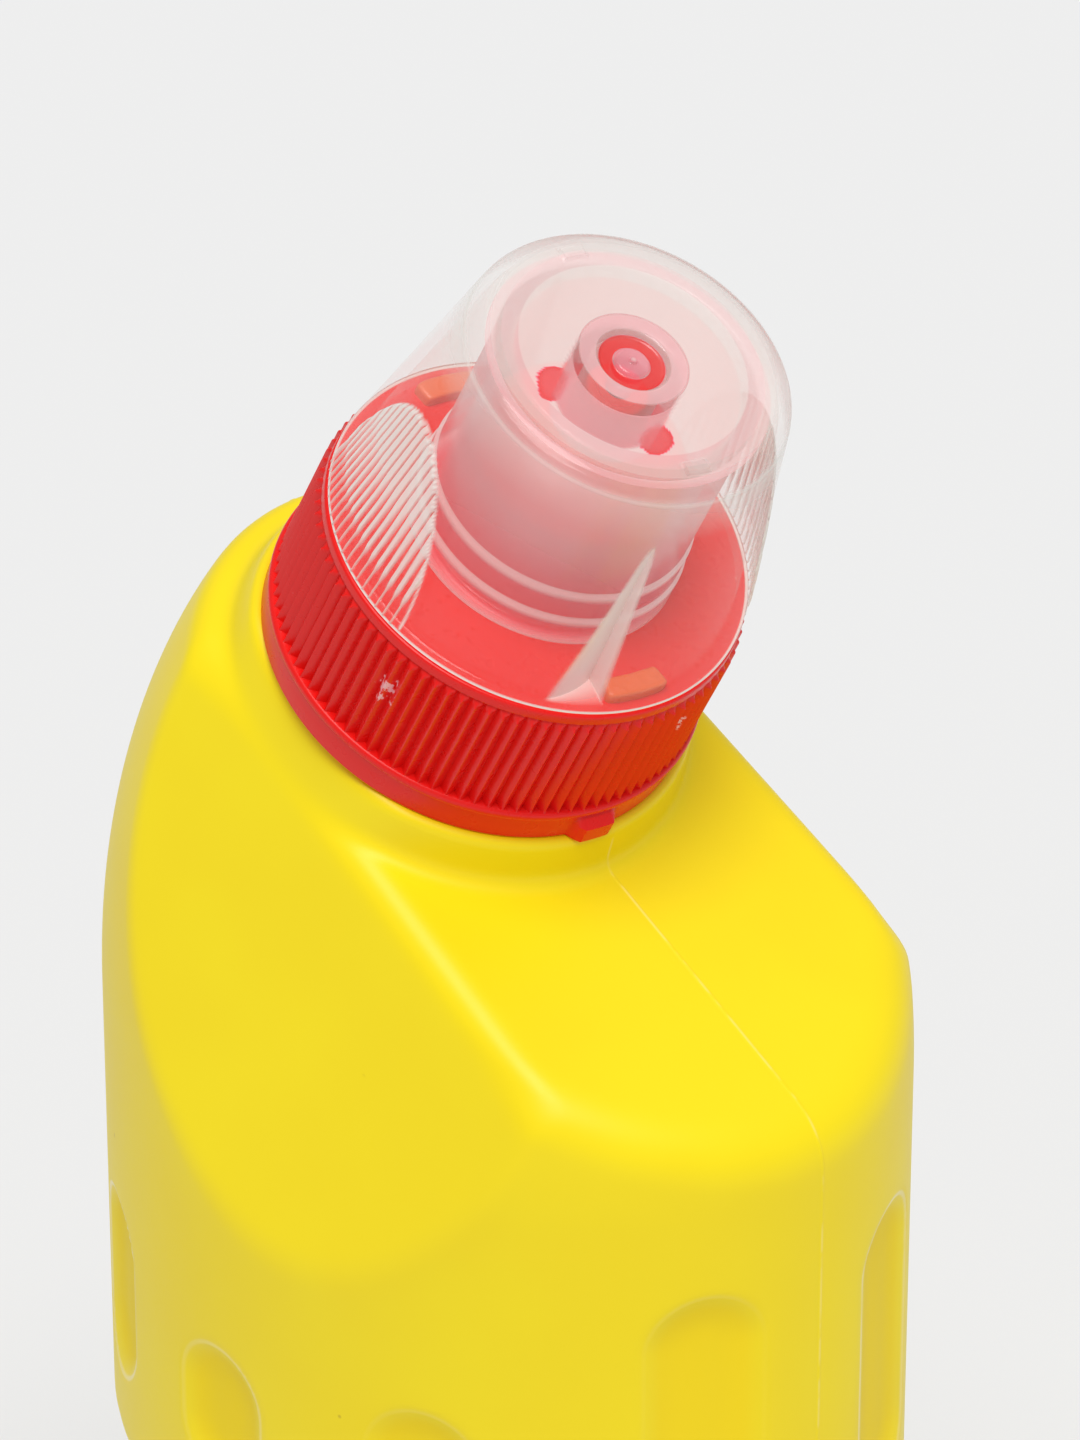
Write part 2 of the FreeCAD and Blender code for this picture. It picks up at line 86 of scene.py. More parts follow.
class BottleSizes(bpy.types.PropertyGroup):
    """Sizes of the blown bottle."""
    body_length: length("Body length", "Front to back", (BOTTLE_HIGH.x - BOTTLE_LOW.x) / MM)
    body_width: length("Body width", "Side to side", (BOTTLE_HIGH.y - BOTTLE_LOW.y) / MM)
    slope_edge_height: length("Slope edge", "Height of the sloping top at the front", 158)
    dome_start: length("Dome start", "Height of the dome's foot from the slope's front edge", -6)
    dome_height: length("Dome height", "Height of the dome that the back is part of", 63)
    wall: length("Wall", "Thickness of the blown wall", 1.2)
    base_rounding: length("Base rounding", "Reach of the rounding round the base", 7)
    base_pushup: length("Push-up", "Depth of the hollow under the base", 3)
    pushup_margin: length("Push-up margin", "Width of the ring that the bottle stands on", 9)
    panel_bottom: length("Panel bottom", "Height at which the label panel starts", 26)
    panel_top: length("Panel top", "Height at which the label panel ends", 104)
    panel_depth: length("Panel depth", "How far the label panel lies back", 1.6)
    panel_step: length("Panel step", "Height over which the panel's edge fades", 7)
    cheek_lean: angle("Cheek lean", "Lean of the flat cheeks back from upright", 18.1)
    cheek_turn: angle("Cheek turn", "Turn of the flat cheeks towards the front", 7.3)
    cheek_offset: length("Cheek offset", "Half the width between the cheeks", 30.8)
    crease: length("Crease", "Blend between slope and cheek", 2.4)
    front_edge: length("Front edge", "Blend between slope and front wall", 3.8)
    back_edge: length("Back edge", "Blend between slope and dome", 3.0)
    cheek_edge: length("Cheek edge", "Blend between cheek and wall", 0.6)
    grip_width: length("Grip width", "Width of a finger recess", 12.5)
    grip_depth: length("Grip depth", "Depth of a finger recess", 1.3)
    grip_flank: length("Grip flank", "Width over which a finger recess reaches its depth", 4.6)
    grip_rim: length("Grip rim", "Softness of a finger recess's rim", 0.4)
    grip_bottom: length("Grip bottom", "Height at which the finger recesses start", 110)
    neck_x: length("Neck place", "Where the neck axis meets the slope, from the middle", -6.4)
    foot_radius: length("Neck foot radius", "Radius of the raised neck foot at the slope", 23.8)
    foot_top_radius: length("Foot top radius", "Radius of the raised neck foot at its top", 22.8)
    foot_height: length("Neck foot height", "Height of the raised neck foot", 5)
    foot_fillet: length("Foot fillet", "Blend between neck foot and slope", 1.6)
    neck_radius: length("Neck radius", "Outside of the neck", 18.6)
    neck_bore: length("Neck bore", "Inside of the neck", 16.6)
    neck_height: length("Neck height", "Height of the neck's mouth along its axis", 21.7)
    seam_height: length("Seam height", "How far the mould seam stands proud", 0.05)
    seam_width: length("Seam width", "Width of the mould seam", 0.36)


class CollarSizes(bpy.types.PropertyGroup):
    """Sizes of the knurled collar with its spout. Heights run along the neck axis."""
    foot: length("Collar foot", "Height of the collar's lower edge", 5.6)
    band_radius: length("Band radius", "Radius of the smooth band", 22.0)
    band_height: length("Band height", "Height of the smooth band", 2.5)
    bead_radius: length("Bead radius", "Radius of the bead over the band", 22.35)
    bead_height: length("Bead height", "Height of the bead over the band", 1.0)
    root_radius: length("Groove radius", "Radius at the bottom of the knurl's grooves", 21.15)
    tip_radius: length("Ridge radius", "Radius at the top of the knurl's ridges", 22.0)
    rim_radius: length("Rim radius", "Radius of the smooth rim over the knurl", 21.45)
    rim_height: length("Rim height", "Height of the smooth rim", 1.3)
    height: length("Collar height", "Height of the collar", 18.1)
    bore_radius: length("Skirt bore", "Inside of the skirt, round the neck", 19.0)
    spout_radius: length("Spout radius", "Outside of the spout", 11.0)
    spout_wall: length("Spout wall", "Thickness of the spout's wall", 1.4)
    spout_height: length("Spout height", "Height of the spout over the deck", 12.8)
    crown_radius: length("Crown radius", "Radius at which the spout's crown turns in", 9.2)
    crown_height: length("Crown height", "Height of the crown's shoulder over the spout", 3.1)
    nozzle_radius: length("Nozzle radius", "Radius at the nozzle's root", 3.5)
    nozzle_root: length("Nozzle root", "Height of the nozzle's root over the spout", 5.1)
    tip_width: length("Tip radius", "Radius at the nozzle's tip", 3.1)
    nozzle_height: length("Nozzle height", "Height of the nozzle's tip over the deck", 22.9)
    orifice: length("Orifice", "Radius of the hole in the nozzle's tip", 1.2)


class OvercapSizes(bpy.types.PropertyGroup):
    """Sizes of the clear overcap. Heights run along the neck axis."""
    gap: length("Gap", "Space between the collar's deck and the overcap's mouth", 0.2)
    height: length("Overcap height", "Height of the overcap", 27.0)
    mouth_radius: length("Mouth radius", "Outside of the mouth", 21.3)
    roof_radius: length("Roof radius", "Outside at the roof, before the corner is rounded", 16.05)
    wall: length("Wall", "Thickness of the outer skirt", 1.2)
    roof_wall: length("Roof wall", "Thickness of the roof", 1.5)
    corner: length("Corner", "Reach of the rounding between roof and skirt", 1.85)
    skirt_radius: length("Inner skirt", "Outside of the inner skirt under the roof", 13.0)
    skirt_bore: length("Inner skirt bore", "Inside of the inner skirt", 11.5)
    skirt_lift: length("Skirt lift", "Height of the inner skirt's edge over the mouth", 0.8)
    step: length("Step", "Each step in the inner skirt's outside", 0.35)
    step_height: length("Step height", "Height between the inner skirt's steps", 3.3)
    tube_radius: length("Tube radius", "Outside of the seal tube", 5.3)
    tube_bore: length("Tube bore", "Inside of the seal tube", 3.9)
    tube_height: length("Tube height", "Length of the seal tube, from the roof's top", 9.0)
    plug_radius: length("Plug radius", "Radius of the plug in the nozzle", 0.9)
    plug_root: length("Plug root", "Radius of the plug at the roof", 1.7)
    plug_depth: length("Plug depth", "Length of the plug, from the roof's top", 4.9)
    dimple_radius: length("Dimple radius", "Radius of the hollow in the roof", 3.6)
    dimple_depth: length("Dimple depth", "Depth of the hollow in the roof", 0.7)
    fin_start: angle("Fin start", "Where a fin's gentle face starts", -39)
    fin_end: angle("Fin end", "Where a fin's steep face ends", -21)
    fin_depth: length("Fin depth", "How far a fin stands inwards at the mouth", 3.0)
    fin_height: length("Fin height", "Height of a fin over the mouth", 19.6)
    pad_angle: angle("Pad angle", "Middle of a squeeze pad", -111)
    pad_half: angle("Pad half width", "Half the width of a squeeze pad at the mouth", 30)
    pad_height: length("Pad height", "Height of a squeeze pad's arch", 17.5)
    rib_pitch: angle("Rib pitch", "Angle from rib to rib on a squeeze pad", 3)
    rib_depth: length("Rib depth", "How far a rib stands proud", 0.35)
    mark_angle: angle("Roof mark angle", "Where a small block stands on the roof", -12)
    mark_radius: length("Roof mark radius", "Inner radius of a roof block", 12.4)


class FinishColours(bpy.types.PropertyGroup):
    """Colours of the three plastics."""
    bottle: colour("Bottle", "Yellow blown plastic", (0.93, 0.735, 0.003))
    collar: colour("Collar", "Red moulded plastic", (0.79, 0.008, 0.006))
    overcap: colour("Overcap", "Milky cast of the clear plastic", (0.84, 0.80, 0.745))
    # Painted red bounce light: the pink cast that the milky plastic takes over the red parts.
    blush: colour("Red bounce", "Cast of the thick clear parts over the red", (0.95, 0.19, 0.29))
    backdrop: colour("Backdrop", "Pale floor and background", (0.775, 0.775, 0.775))


class StageSettings(bpy.types.PropertyGroup):
    """Camera and lamps."""
    view_turn: angle("View turn", "How far round the front the camera stands", 46.85)
    view_height: angle("View height", "How far over the horizon the camera stands", 28.99)
    view_distance: length("View distance", "From the camera to its target", 780.76)
    target_side: length("Target side", "Target's shift towards the right of the view", 3.579)
    target_height: length("Target height", "Height of the camera's target", 184.994)
    lens: FloatProperty(name="Lens", description="Focal length", default=200.0, unit="CAMERA")


# Surfaces: every piece is a stack of rings, each ring an array of points.


def neck_origin():
    """The point where the neck axis meets the slope."""
    sizes = bpy.context.scene.bottle_sizes
    rise = (sizes.body_length / 2 - sizes.neck_x) * math.tan(NECK_TILT)
    return np.array([sizes.neck_x, 0.0, sizes.slope_edge_height + rise])


def on_neck(radius, turn, height):
    """Points given by radius and turn about the neck axis, and height along it."""
    radius, turn, height = np.broadcast_arrays(radius, turn, height)
    return (neck_origin() + height[..., None] * NECK_AXIS
            + (radius * np.cos(turn))[..., None] * NECK_FRONT
            + (radius * np.sin(turn))[..., None] * ACROSS)


def ring_faces(start, count, next_start, next_count):
    """Faces between two rings: quads where they have as many points, and otherwise one face
    for each point of the ring with fewer, which takes in all its share of the other's."""
    few = min(count, next_count)
    if few == 1:
        many = max(count, next_count)
        first, pole = (next_start, start) if count == 1 else (start, next_start)
        index = np.arange(many)
        fan = np.stack([first + index, first + (index + 1) % many, np.full(many, pole)], axis=1)
        return fan[:, ::-1] if count == 1 else fan
    here, there = count // few, next_count // few
    index = np.arange(few)[:, None]
    lower = start + (index * here + np.arange(here + 1)) % count
    upper = next_start + (index * there + np.arange(there, -1, -1)) % next_count
    return np.hstack([lower, upper])


def skin(rings, closed_loop=False):
    """A closed surface from rings in order, between two poles or back to the first ring. The
    volume that its faces enclose tells whether they have to be turned to face outwards."""
    rings = [np.asarray(ring, float).reshape(-1, 3) for ring in rings]
    counts = [len(ring) for ring in rings]
    starts = np.cumsum([0] + counts)
    order = list(range(len(rings))) + ([0] if closed_loop else [])
    faces = [ring_faces(starts[a], counts[a], starts[b], counts[b])
             for a, b in zip(order, order[1:])]
    points = np.vstack(rings)
    centred = points - points.mean(axis=0)
    volume = sum(np.einsum("ij,ij->", centred[group[:, 0]],
                           np.cross(centred[group[:, i]], centred[group[:, i + 1]]))
                 for group in faces for i in range(1, group.shape[1] - 1))
    if volume < 0:
        faces = [group[:, ::-1] for group in faces]
    return points, faces


def mesh_piece(name, parts, material, sharp=50.0, **attributes):
    """One object from one or more closed skins, shaded smooth but for its sharp edges."""
    mesh = bpy.data.meshes.new(name)
    offset, points, corners, totals = 0, [], [], []
    for part_points, groups in parts:
        for group in groups:
            corners.append(group.ravel() + offset)
            totals.append(np.full(len(group), group.shape[1]))
        points.append(part_points)
        offset += len(part_points)
    points, corners, totals = np.vstack(points), np.concatenate(corners), np.concatenate(totals)
    mesh.vertices.add(len(points))
    mesh.vertices.foreach_set("co", points.astype(np.float32).ravel())
    mesh.loops.add(len(corners))
    mesh.loops.foreach_set("vertex_index", corners.astype(np.int32))
    mesh.polygons.add(len(totals))
    mesh.polygons.foreach_set("loop_start", (np.cumsum(totals) - totals).astype(np.int32))
    mesh.polygons.foreach_set("loop_total", totals.astype(np.int32))
    mesh.update(calc_edges=True)
    mesh.validate()
    mesh.polygons.foreach_set("use_smooth", np.ones(len(mesh.polygons), bool))
    mesh.set_sharp_from_angle(angle=math.radians(sharp))
    for key, values in attributes.items():
        layer = mesh.attributes.new(key, "FLOAT", "POINT")
        layer.data.foreach_set("value", np.asarray(values, np.float32))
    mesh.materials.append(material)
    piece = bpy.data.objects.new(name, mesh)
    bpy.context.scene.collection.objects.link(piece)
    return piece


def soft_max(a, b, blend):
    """The larger of two values, with a rounded change from one to the other."""
    near = np.maximum(blend - np.abs(a - b), 0) / blend
    return np.maximum(a, b) + near * near * blend / 4


def soft_min(a, b, blend):
    """The smaller of two values, with a rounded change from one to the other."""
    return -soft_max(-a, -b, blend)


def smooth_step(value, low, high):
    """0 below low, 1 above high, and an S curve between them."""
    share = np.clip((value - low) / (high - low), 0, 1)
    return share * share * (3 - 2 * share)


def rounded(corners, steps=6):
    """A profile through corners (across, up, reach), where each corner with a reach becomes
    the arc of a circle that touches its two sides at the reach's distance from it. The arc
    is a rational curve whose middle weight is the cosine of half the corner's turn."""
    last = len(corners) - 1
    share = np.linspace(0, 1, steps)[:, None]
    line = []
    for i, (x, y, reach) in enumerate(corners):
        spot = np.array([x, y])
        if reach == 0 or i in (0, last):
            line.append(spot[None])
            continue
        ends, ways = [], []
        for j in (i - 1, i + 1):
            way = np.array(corners[j][:2]) - spot
            gap = np.hypot(*way)
            room = gap * (0.5 if corners[j][2] and j not in (0, last) else 1.0)
            ways.append(way / gap)
            ends.append(min(reach, room))
        near = min(ends)
        weight = math.sqrt(max(0.5 - 0.5 * float(ways[0] @ ways[1]), 0))
        parts = ((1 - share) ** 2, 2 * weight * share * (1 - share), share ** 2)
        line.append((parts[0] * (spot + ways[0] * near) + parts[1] * spot
                     + parts[2] * (spot + ways[1] * near)) / sum(parts))
    return np.vstack(line)


# Bottle: the surface is where a distance function changes sign along rays from inside.

# Each recess on a side: its turn from the front in degrees, and its top in millimetres.
GRIPS = [(20.5, 143.5), (61.0, 129.0), (94.0, 126.5), (125.0, 131.5), (159.0, 139.0)]
RAY_CENTRE_LOW = 25 * MM
RAY_TURN_HEIGHT = 131 * MM
RAY_NECK_DEPTH = 35 * MM


def grip_inside(p):
    """How far inside the outline of a finger recess a point is, below zero beside them all.
    Each recess is a slot with a round end, seen from outside."""
    sizes = bpy.context.scene.bottle_sizes
    a, b = sizes.body_length / 2, sizes.body_width / 2
    half = sizes.grip_width / 2
    inside = np.full(p.shape[:-1], -half)
    for turn, top in GRIPS:
        for side in (1, -1):
            at = math.radians(turn) * side
            centre = np.array([a * math.cos(at), b * math.sin(at)])
            along = np.array([-a * math.sin(at), b * math.cos(at)])
            along /= np.hypot(*along)
            out = np.array([along[1], -along[0]])
            offset = p[..., :2] - centre
            level = np.clip(p[..., 2], sizes.grip_bottom + half, top * MM - half)
            reach = half - np.hypot(offset @ along, p[..., 2] - level)
            inside = np.maximum(inside, np.where(offset @ out > -half, reach, -half))
    return inside


def recess(p):
    """How far the wall is pressed in: finger recesses with concave flanks, and the label
    panel, a level step between two heights."""
    sizes = bpy.context.scene.bottle_sizes
    share = np.clip(soft_max(grip_inside(p), 0.0, sizes.grip_rim) / sizes.grip_flank, 0, 1)
    z = p[..., 2]
    panel = (smooth_step(z, sizes.panel_bottom, sizes.panel_bottom + sizes.panel_step)
             - smooth_step(z, sizes.panel_top - sizes.panel_step, sizes.panel_top))
    return sizes.grip_depth * (1 - (1 - share) ** 2) + panel * sizes.panel_depth


def tower_distance(p, inset):
    """Distance outside an oval tower under a dome, cut by the slope, with every face moved in
    by the inset."""
    sizes = bpy.context.scene.bottle_sizes
    x, y, z = p[..., 0], p[..., 1], p[..., 2]
    a, b = sizes.body_length / 2 - inset, sizes.body_width / 2 - inset
    c = sizes.dome_height - inset
    up = np.maximum(z - sizes.slope_edge_height - sizes.dome_start, 0)
    reach = np.sqrt((x / a) ** 2 + (y / b) ** 2 + (up / c) ** 2) + 1e-9
    steep = np.sqrt(x ** 2 / a ** 4 + y ** 2 / b ** 4 + up ** 2 / c ** 4) + 1e-9
    wall = (reach - 1) * reach / steep
    wall += recess(p)
    edge = np.array([sizes.body_length / 2, 0.0, sizes.slope_edge_height])
    slope = (p - edge) @ NECK_AXIS + inset
    front = smooth_step(x, -0.3 * a, 0.3 * a)
    blend = front * sizes.front_edge + (1 - front) * sizes.back_edge
    return soft_max(wall, slope, blend), slope - wall


def cheek_distance(p, inset):
    """Distance outside the two flat cheeks."""
    sizes = bpy.context.scene.bottle_sizes
    lean, turn = sizes.cheek_lean, sizes.cheek_turn
    return (p[..., 0] * math.cos(lean) * math.sin(turn)
            + (np.abs(p[..., 1]) - sizes.cheek_offset) * math.cos(lean) * math.cos(turn)
            + (p[..., 2] - sizes.slope_edge_height) * math.sin(lean)) + inset


def seam_cover(p):
    """How far the surface lies back beside the fine ridge that the mould leaves."""
    sizes = bpy.context.scene.bottle_sizes
    ridge = np.clip(1 - (p[..., 1] / (sizes.seam_width / 2)) ** 2, 0, 1)
    ridge *= smooth_step(p[..., 2], sizes.base_rounding, 2 * sizes.base_rounding)
    return sizes.seam_height * (1 - ridge)


def base_distance(p, inset):
    """Distance below the base, which is pushed up in the middle."""
    sizes = bpy.context.scene.bottle_sizes
    a, b = sizes.body_length / 2 - sizes.pushup_margin, sizes.body_width / 2 - sizes.pushup_margin
    plan = np.hypot(p[..., 0] / a, p[..., 1] / b)
    hollow = sizes.base_pushup * (1 - smooth_step(plan, 0.72, 1.0))
    return hollow + inset - p[..., 2]


def bottle_distance(p, inset=0.0, neck=True):
    """Distance outside the whole bottle, or outside its cavity where an inset is given. The
    neck's raised foot joins the slope, and the cheeks cut both."""
    sizes = bpy.context.scene.bottle_sizes
    form, over = tower_distance(p, inset)
    form += seam_cover(p)
    if neck:
        offset = p - neck_origin()
        height = offset @ NECK_AXIS
        radius = np.hypot(offset @ NECK_FRONT, p[..., 1])
        taper = (sizes.foot_radius - sizes.foot_top_radius) / sizes.foot_height
        foot = soft_max(radius - sizes.foot_radius + taper * height,
                        np.abs(height) - sizes.foot_height, 0.8 * MM)
        form = soft_min(form, foot, sizes.foot_fillet)
    beside_slope = smooth_step(over, -4 * MM, 1 * MM)
    blend = beside_slope * sizes.crease + (1 - beside_slope) * sizes.cheek_edge
    form = soft_max(form, cheek_distance(p, inset), blend)
    return soft_max(form, base_distance(p, inset), sizes.base_rounding)


def ray_stations():
    """Rows of rays from the base's middle to the neck: each row has the height and forward
    shift of its centre, the tilt of its axis, and how far its rays rise from level."""
    sizes = bpy.context.scene.bottle_sizes
    rows = []
    for rise in np.radians(np.concatenate([np.linspace(-89, -40, 12), np.linspace(-38, 0, 22)])):
        rows.append((0.0, RAY_CENTRE_LOW, 0.0, rise))
    heights = np.concatenate([np.linspace(26, 34, 8), np.linspace(40, 92, 8),
                              np.linspace(96, 106, 9), np.linspace(107, 130.4, 34)]) * MM
    for height in heights:
        rows.append((0.0, height, 0.0, 0.0))
    origin = neck_origin()
    end = origin - RAY_NECK_DEPTH * NECK_AXIS
    foot_rise = math.atan2(RAY_NECK_DEPTH, sizes.foot_radius + 1.2 * MM)
    for share in np.linspace(0, 1, 96):
        shift = smooth_step(share, 0, 0.75)
        centre = (1 - shift) * np.array([0, 0, RAY_TURN_HEIGHT]) + shift * end
        rows.append((centre[0], centre[2], NECK_TILT * shift, foot_rise * share ** 1.05))
    top_rise = math.atan2(RAY_NECK_DEPTH + sizes.foot_height, sizes.neck_radius)
    for share in np.linspace(0, 1, 20)[1:]:
        rows.append((end[0], end[2], NECK_TILT, foot_rise + (top_rise - foot_rise) * share))
    return np.array(rows)


def ray_turns(count):
    """Turns round the oval, spaced by its arc length and close together at the mould seam."""
    sizes = bpy.context.scene.bottle_sizes
    a, b = sizes.body_length / 2, sizes.body_width / 2
    turn = np.linspace(0, math.pi, 20001)
    speed = np.hypot(a * np.sin(turn), b * np.cos(turn))
    along = np.concatenate([[0], np.cumsum((speed[1:] + speed[:-1]) / 2 * np.diff(turn))])
    near_seam = np.minimum(along, along[-1] - along)
    weight = speed * (1 + 6 * np.exp(-(near_seam / (0.35 * MM)) ** 2))
    total = np.concatenate([[0], np.cumsum((weight[1:] + weight[:-1]) / 2 * np.diff(turn))])
    half = np.interp(np.linspace(0, total[-1], count // 2 + 1), total, turn)
    return np.concatenate([half, TURN - half[-2:0:-1]])


def cast(rows, turns, inset=0.0, neck=True):
    """Points where rays meet the bottle, by halving an interval that holds the surface."""
    sizes = bpy.context.scene.bottle_sizes
    shift, height, tilt, rise = (rows[:, i][:, None] for i in range(4))
    oval = 1 - tilt / NECK_TILT
    level_x = (1 + (sizes.body_length / sizes.body_width - 1) * oval) * np.cos(turns)
    level_y = np.sin(turns) * np.ones_like(tilt)
    size = np.hypot(level_x, level_y)
    level_x, level_y = level_x / size * np.cos(rise), level_y / size * np.cos(rise)
    up = np.sin(rise) * np.ones_like(level_x)
    way = np.stack([level_x * np.cos(tilt) + up * np.sin(tilt), level_y,
                    -level_x * np.sin(tilt) + up * np.cos(tilt)], axis=-1)
    start = np.stack([shift, 0 * shift, height], axis=-1)
    near = np.zeros(level_x.shape)
    far = np.full(level_x.shape, 150 * MM)
    for _ in range(34):
        middle = (near + far) / 2
        outside = bottle_distance(start + middle[..., None] * way, inset, neck) > 0
        far = np.where(outside, middle, far)
        near = np.where(outside, near, middle)
    return start + ((near + far) / 2)[..., None] * way


def bottle_skin():
    """The bottle's one closed surface: outside from the base up, over the neck, and back down
    inside the bore and the cavity."""
    sizes = bpy.context.scene.bottle_sizes
    rows = ray_stations()
    turns = ray_turns(384)
    low = np.array([[0.0, 0.0, sizes.base_pushup]])
    rings = [low] + list(cast(rows, turns))
    for radius, height in rounded([(sizes.neck_radius, sizes.foot_height, 0),
                                   (sizes.neck_radius, sizes.neck_height, 0.5 * MM),
                                   (sizes.neck_bore, sizes.neck_height, 0.5 * MM),
                                   (sizes.neck_bore, 0.0, 0)])[1:]:
        rings.append(on_neck(radius, turns, height))
    bore_rise = math.atan2(RAY_NECK_DEPTH - sizes.wall, sizes.neck_bore)
    inner_rows = rows[rows[:, 3] < bore_rise][::-1][::6]
    rings += list(cast(inner_rows, turns, sizes.wall, False))
    rings.append(low + np.array([[0.0, 0.0, sizes.wall]]))
    return skin(rings)


# Collar and spout: rings about the neck axis.

RIDGES = 96
RIDGE_STOPS = np.array([0.0, 0.16, 0.45, 0.5, 0.55, 0.84])
SPOUT_POINTS = RIDGES * 2


def ridge_form():
    """Turns round the knurl, and its form at each: 0 in the groove and 1 on the crest, with
    flat flanks and a narrow rounded crest."""
    turns = (np.arange(RIDGES)[:, None] + RIDGE_STOPS).ravel() * TURN / RIDGES
    form = np.tile(1 - np.abs(2 * RIDGE_STOPS - 1), RIDGES)
    return turns, np.minimum(form, 0.9 + (form - 0.9) * 0.5)


def collar_skin():
    """The collar with spout and nozzle, one closed surface of rings about the neck axis, and
    the two stop lugs on its deck."""
    sizes = bpy.context.scene.collar_sizes
    bottle = bpy.context.scene.bottle_sizes
    fine, form = ridge_form()
    coarse = np.linspace(0, TURN, SPOUT_POINTS, endpoint=False)
    foot, top = sizes.foot, sizes.foot + sizes.height
    band_top = foot + sizes.band_height
    bead_top = band_top + sizes.bead_height
    rim_foot = top - sizes.rim_height
    rings = []

    def smooth_rings(profile, turns):
        for radius, height in profile:
            rings.append(on_neck(radius, turns, height))

    low = bottle.foot_height + 0.02 * MM
    rings.append(on_neck(sizes.bore_radius, coarse, low))
    band = rounded([(sizes.bore_radius + 0.6 * MM, low, 0), (sizes.band_radius, low, 0.3 * MM),
                    (sizes.band_radius, foot + 0.6 * sizes.band_height, 0),
                    (sizes.band_radius, band_top, 0.15 * MM),
                    (sizes.bead_radius, band_top + 0.2 * MM, 0.3 * MM),
                    (sizes.bead_radius, bead_top - 0.15 * MM, 0.4 * MM),
                    (sizes.tip_radius + 0.05 * MM, bead_top, 0)])
    lug = lug_form(fine)
    for radius, height in band:
        share = np.clip((band_top - height) / (0.35 * sizes.band_height), 0, 1)
        on_band = radius >= sizes.band_radius - 0.2 * MM
        lift = lug * 1.2 * MM * share if on_band else 0 * lug
        rings.append(on_neck(radius + lift, fine, height))
    depth = sizes.tip_radius - sizes.root_radius
    heights = np.concatenate([[bead_top + 0.01 * MM], bead_top + np.linspace(0.12, 0.7, 4) * MM,
                              np.linspace(bead_top + 2 * MM, rim_foot - 2.4 * MM, 6),
                              rim_foot + np.linspace(-1.3, 0, 9) * MM])
    for height in heights:
        radius = sizes.root_radius + depth * form
        radius = radius + 0.12 * MM * form * math.exp(-(height - bead_top) / (0.25 * MM))
        limit = sizes.rim_radius - 0.12 * MM + (rim_foot - height) * 0.9
        floor = sizes.rim_radius - 0.35 * MM - (rim_foot - height) * 1.6
        radius = np.maximum(np.minimum(radius, limit), floor)
        rings.append(on_neck(radius, fine, height))
    deck_edge = 20.4 * MM
    smooth_rings(rounded([(sizes.rim_radius - 0.15 * MM, rim_foot + 0.05 * MM, 0),
                          (sizes.rim_radius + 0.05 * MM, rim_foot + 0.15 * MM, 0.1 * MM),
                          (sizes.rim_radius, top, 0.35 * MM), (deck_edge, top, 0)])[1:], fine)
    spout_top = top + sizes.spout_height
    spout = rounded([(deck_edge - 0.5 * MM, top, 0), (sizes.spout_radius, top, 1.0 * MM),
                     (sizes.spout_radius, spout_top, 0.7 * MM),
                     (sizes.crown_radius, spout_top + sizes.crown_height, 2.2 * MM),
                     (sizes.nozzle_radius, spout_top + sizes.nozzle_root, 0.9 * MM),
                     (sizes.tip_width, top + sizes.nozzle_height, 0.35 * MM),
                     (sizes.orifice, top + sizes.nozzle_height, 0.15 * MM),
                     (sizes.orifice, top + sizes.nozzle_height - 1.2 * MM, 0.1 * MM),
                     (sizes.tip_width - 1.1 * MM, top + sizes.nozzle_height - 1.7 * MM, 0.1 * MM),
                     (sizes.nozzle_radius - 1.1 * MM, spout_top + sizes.nozzle_root, 0.5 * MM),
                     (sizes.crown_radius - 0.7 * MM, spout_top + sizes.crown_height - 1.4 * MM,
                      1.0 * MM),
                     (sizes.spout_radius - sizes.spout_wall, spout_top - 0.7 * MM, 0.5 * MM),
                     (sizes.spout_radius - sizes.spout_wall, bottle.neck_height, 0.2 * MM),
                     (sizes.bore_radius, bottle.neck_height, 0.3 * MM),
                     (sizes.bore_radius, foot + 0.5 * MM, 0)])
    smooth_rings(spout, coarse)
    parts = [skin(rings, closed_loop=True)]
    parts += [stop_lug(side) for side in (0, math.pi)]
    return parts


def lug_form(turn):
    """The bevelled lug on the band, twice round: 0 beside it, 1 on its flat face."""
    middle, half, bevel = math.radians(-8.0), math.radians(6.7), math.radians(2.5)
    off = np.abs((turn - middle + math.pi / 2) % math.pi - math.pi / 2)
    return np.clip((half - off) / bevel, 0, 1)


def rounded_block(centre, half, squareness=0.28, columns=32, rows=16):
    """A block with soft edges about a centre, as a superellipsoid: each coordinate is a
    power of the usual sine and cosine, so that its faces are nearly flat."""
    def power(value):
        return np.sign(value) * np.abs(value) ** squareness

    across = np.linspace(0, TURN, columns, endpoint=False)
    up = np.linspace(-math.pi / 2, math.pi / 2, rows + 1)[1:-1, None]
    shape = np.stack([power(np.cos(up)) * power(np.cos(across)),
                      power(np.cos(up)) * power(np.sin(across)),
                      power(np.sin(up)) * np.ones_like(across)], axis=-1)
    poles = np.array([[0, 0, -1.0], [0, 0, 1.0]])
    return shape * half + centre, poles * half + centre


def block_skin(centre, half):
    """A soft-edged block given by radius, turn and height about the neck axis."""
    shape, poles = rounded_block(np.array(centre), np.array(half))
    rings = [on_neck(*poles[0])[None]] + [on_neck(*ring.T) for ring in shape]
    return skin(rings + [on_neck(*poles[1])[None]])


def stop_lug(side):
    """A stop lug on the deck, which the overcap's fin turns against."""
    sizes = bpy.context.scene.collar_sizes
    top = sizes.foot + sizes.height
    return block_skin((18.75 * MM, math.radians(-9.3) + side, top),
                      (1.2 * MM, math.radians(10.3), 1.2 * MM))


# Overcap: rings about the neck axis, with ribs outside and fins inside.

FINE_POINTS = 720
ROOF_POINTS = 360
INNER_POINTS = 180


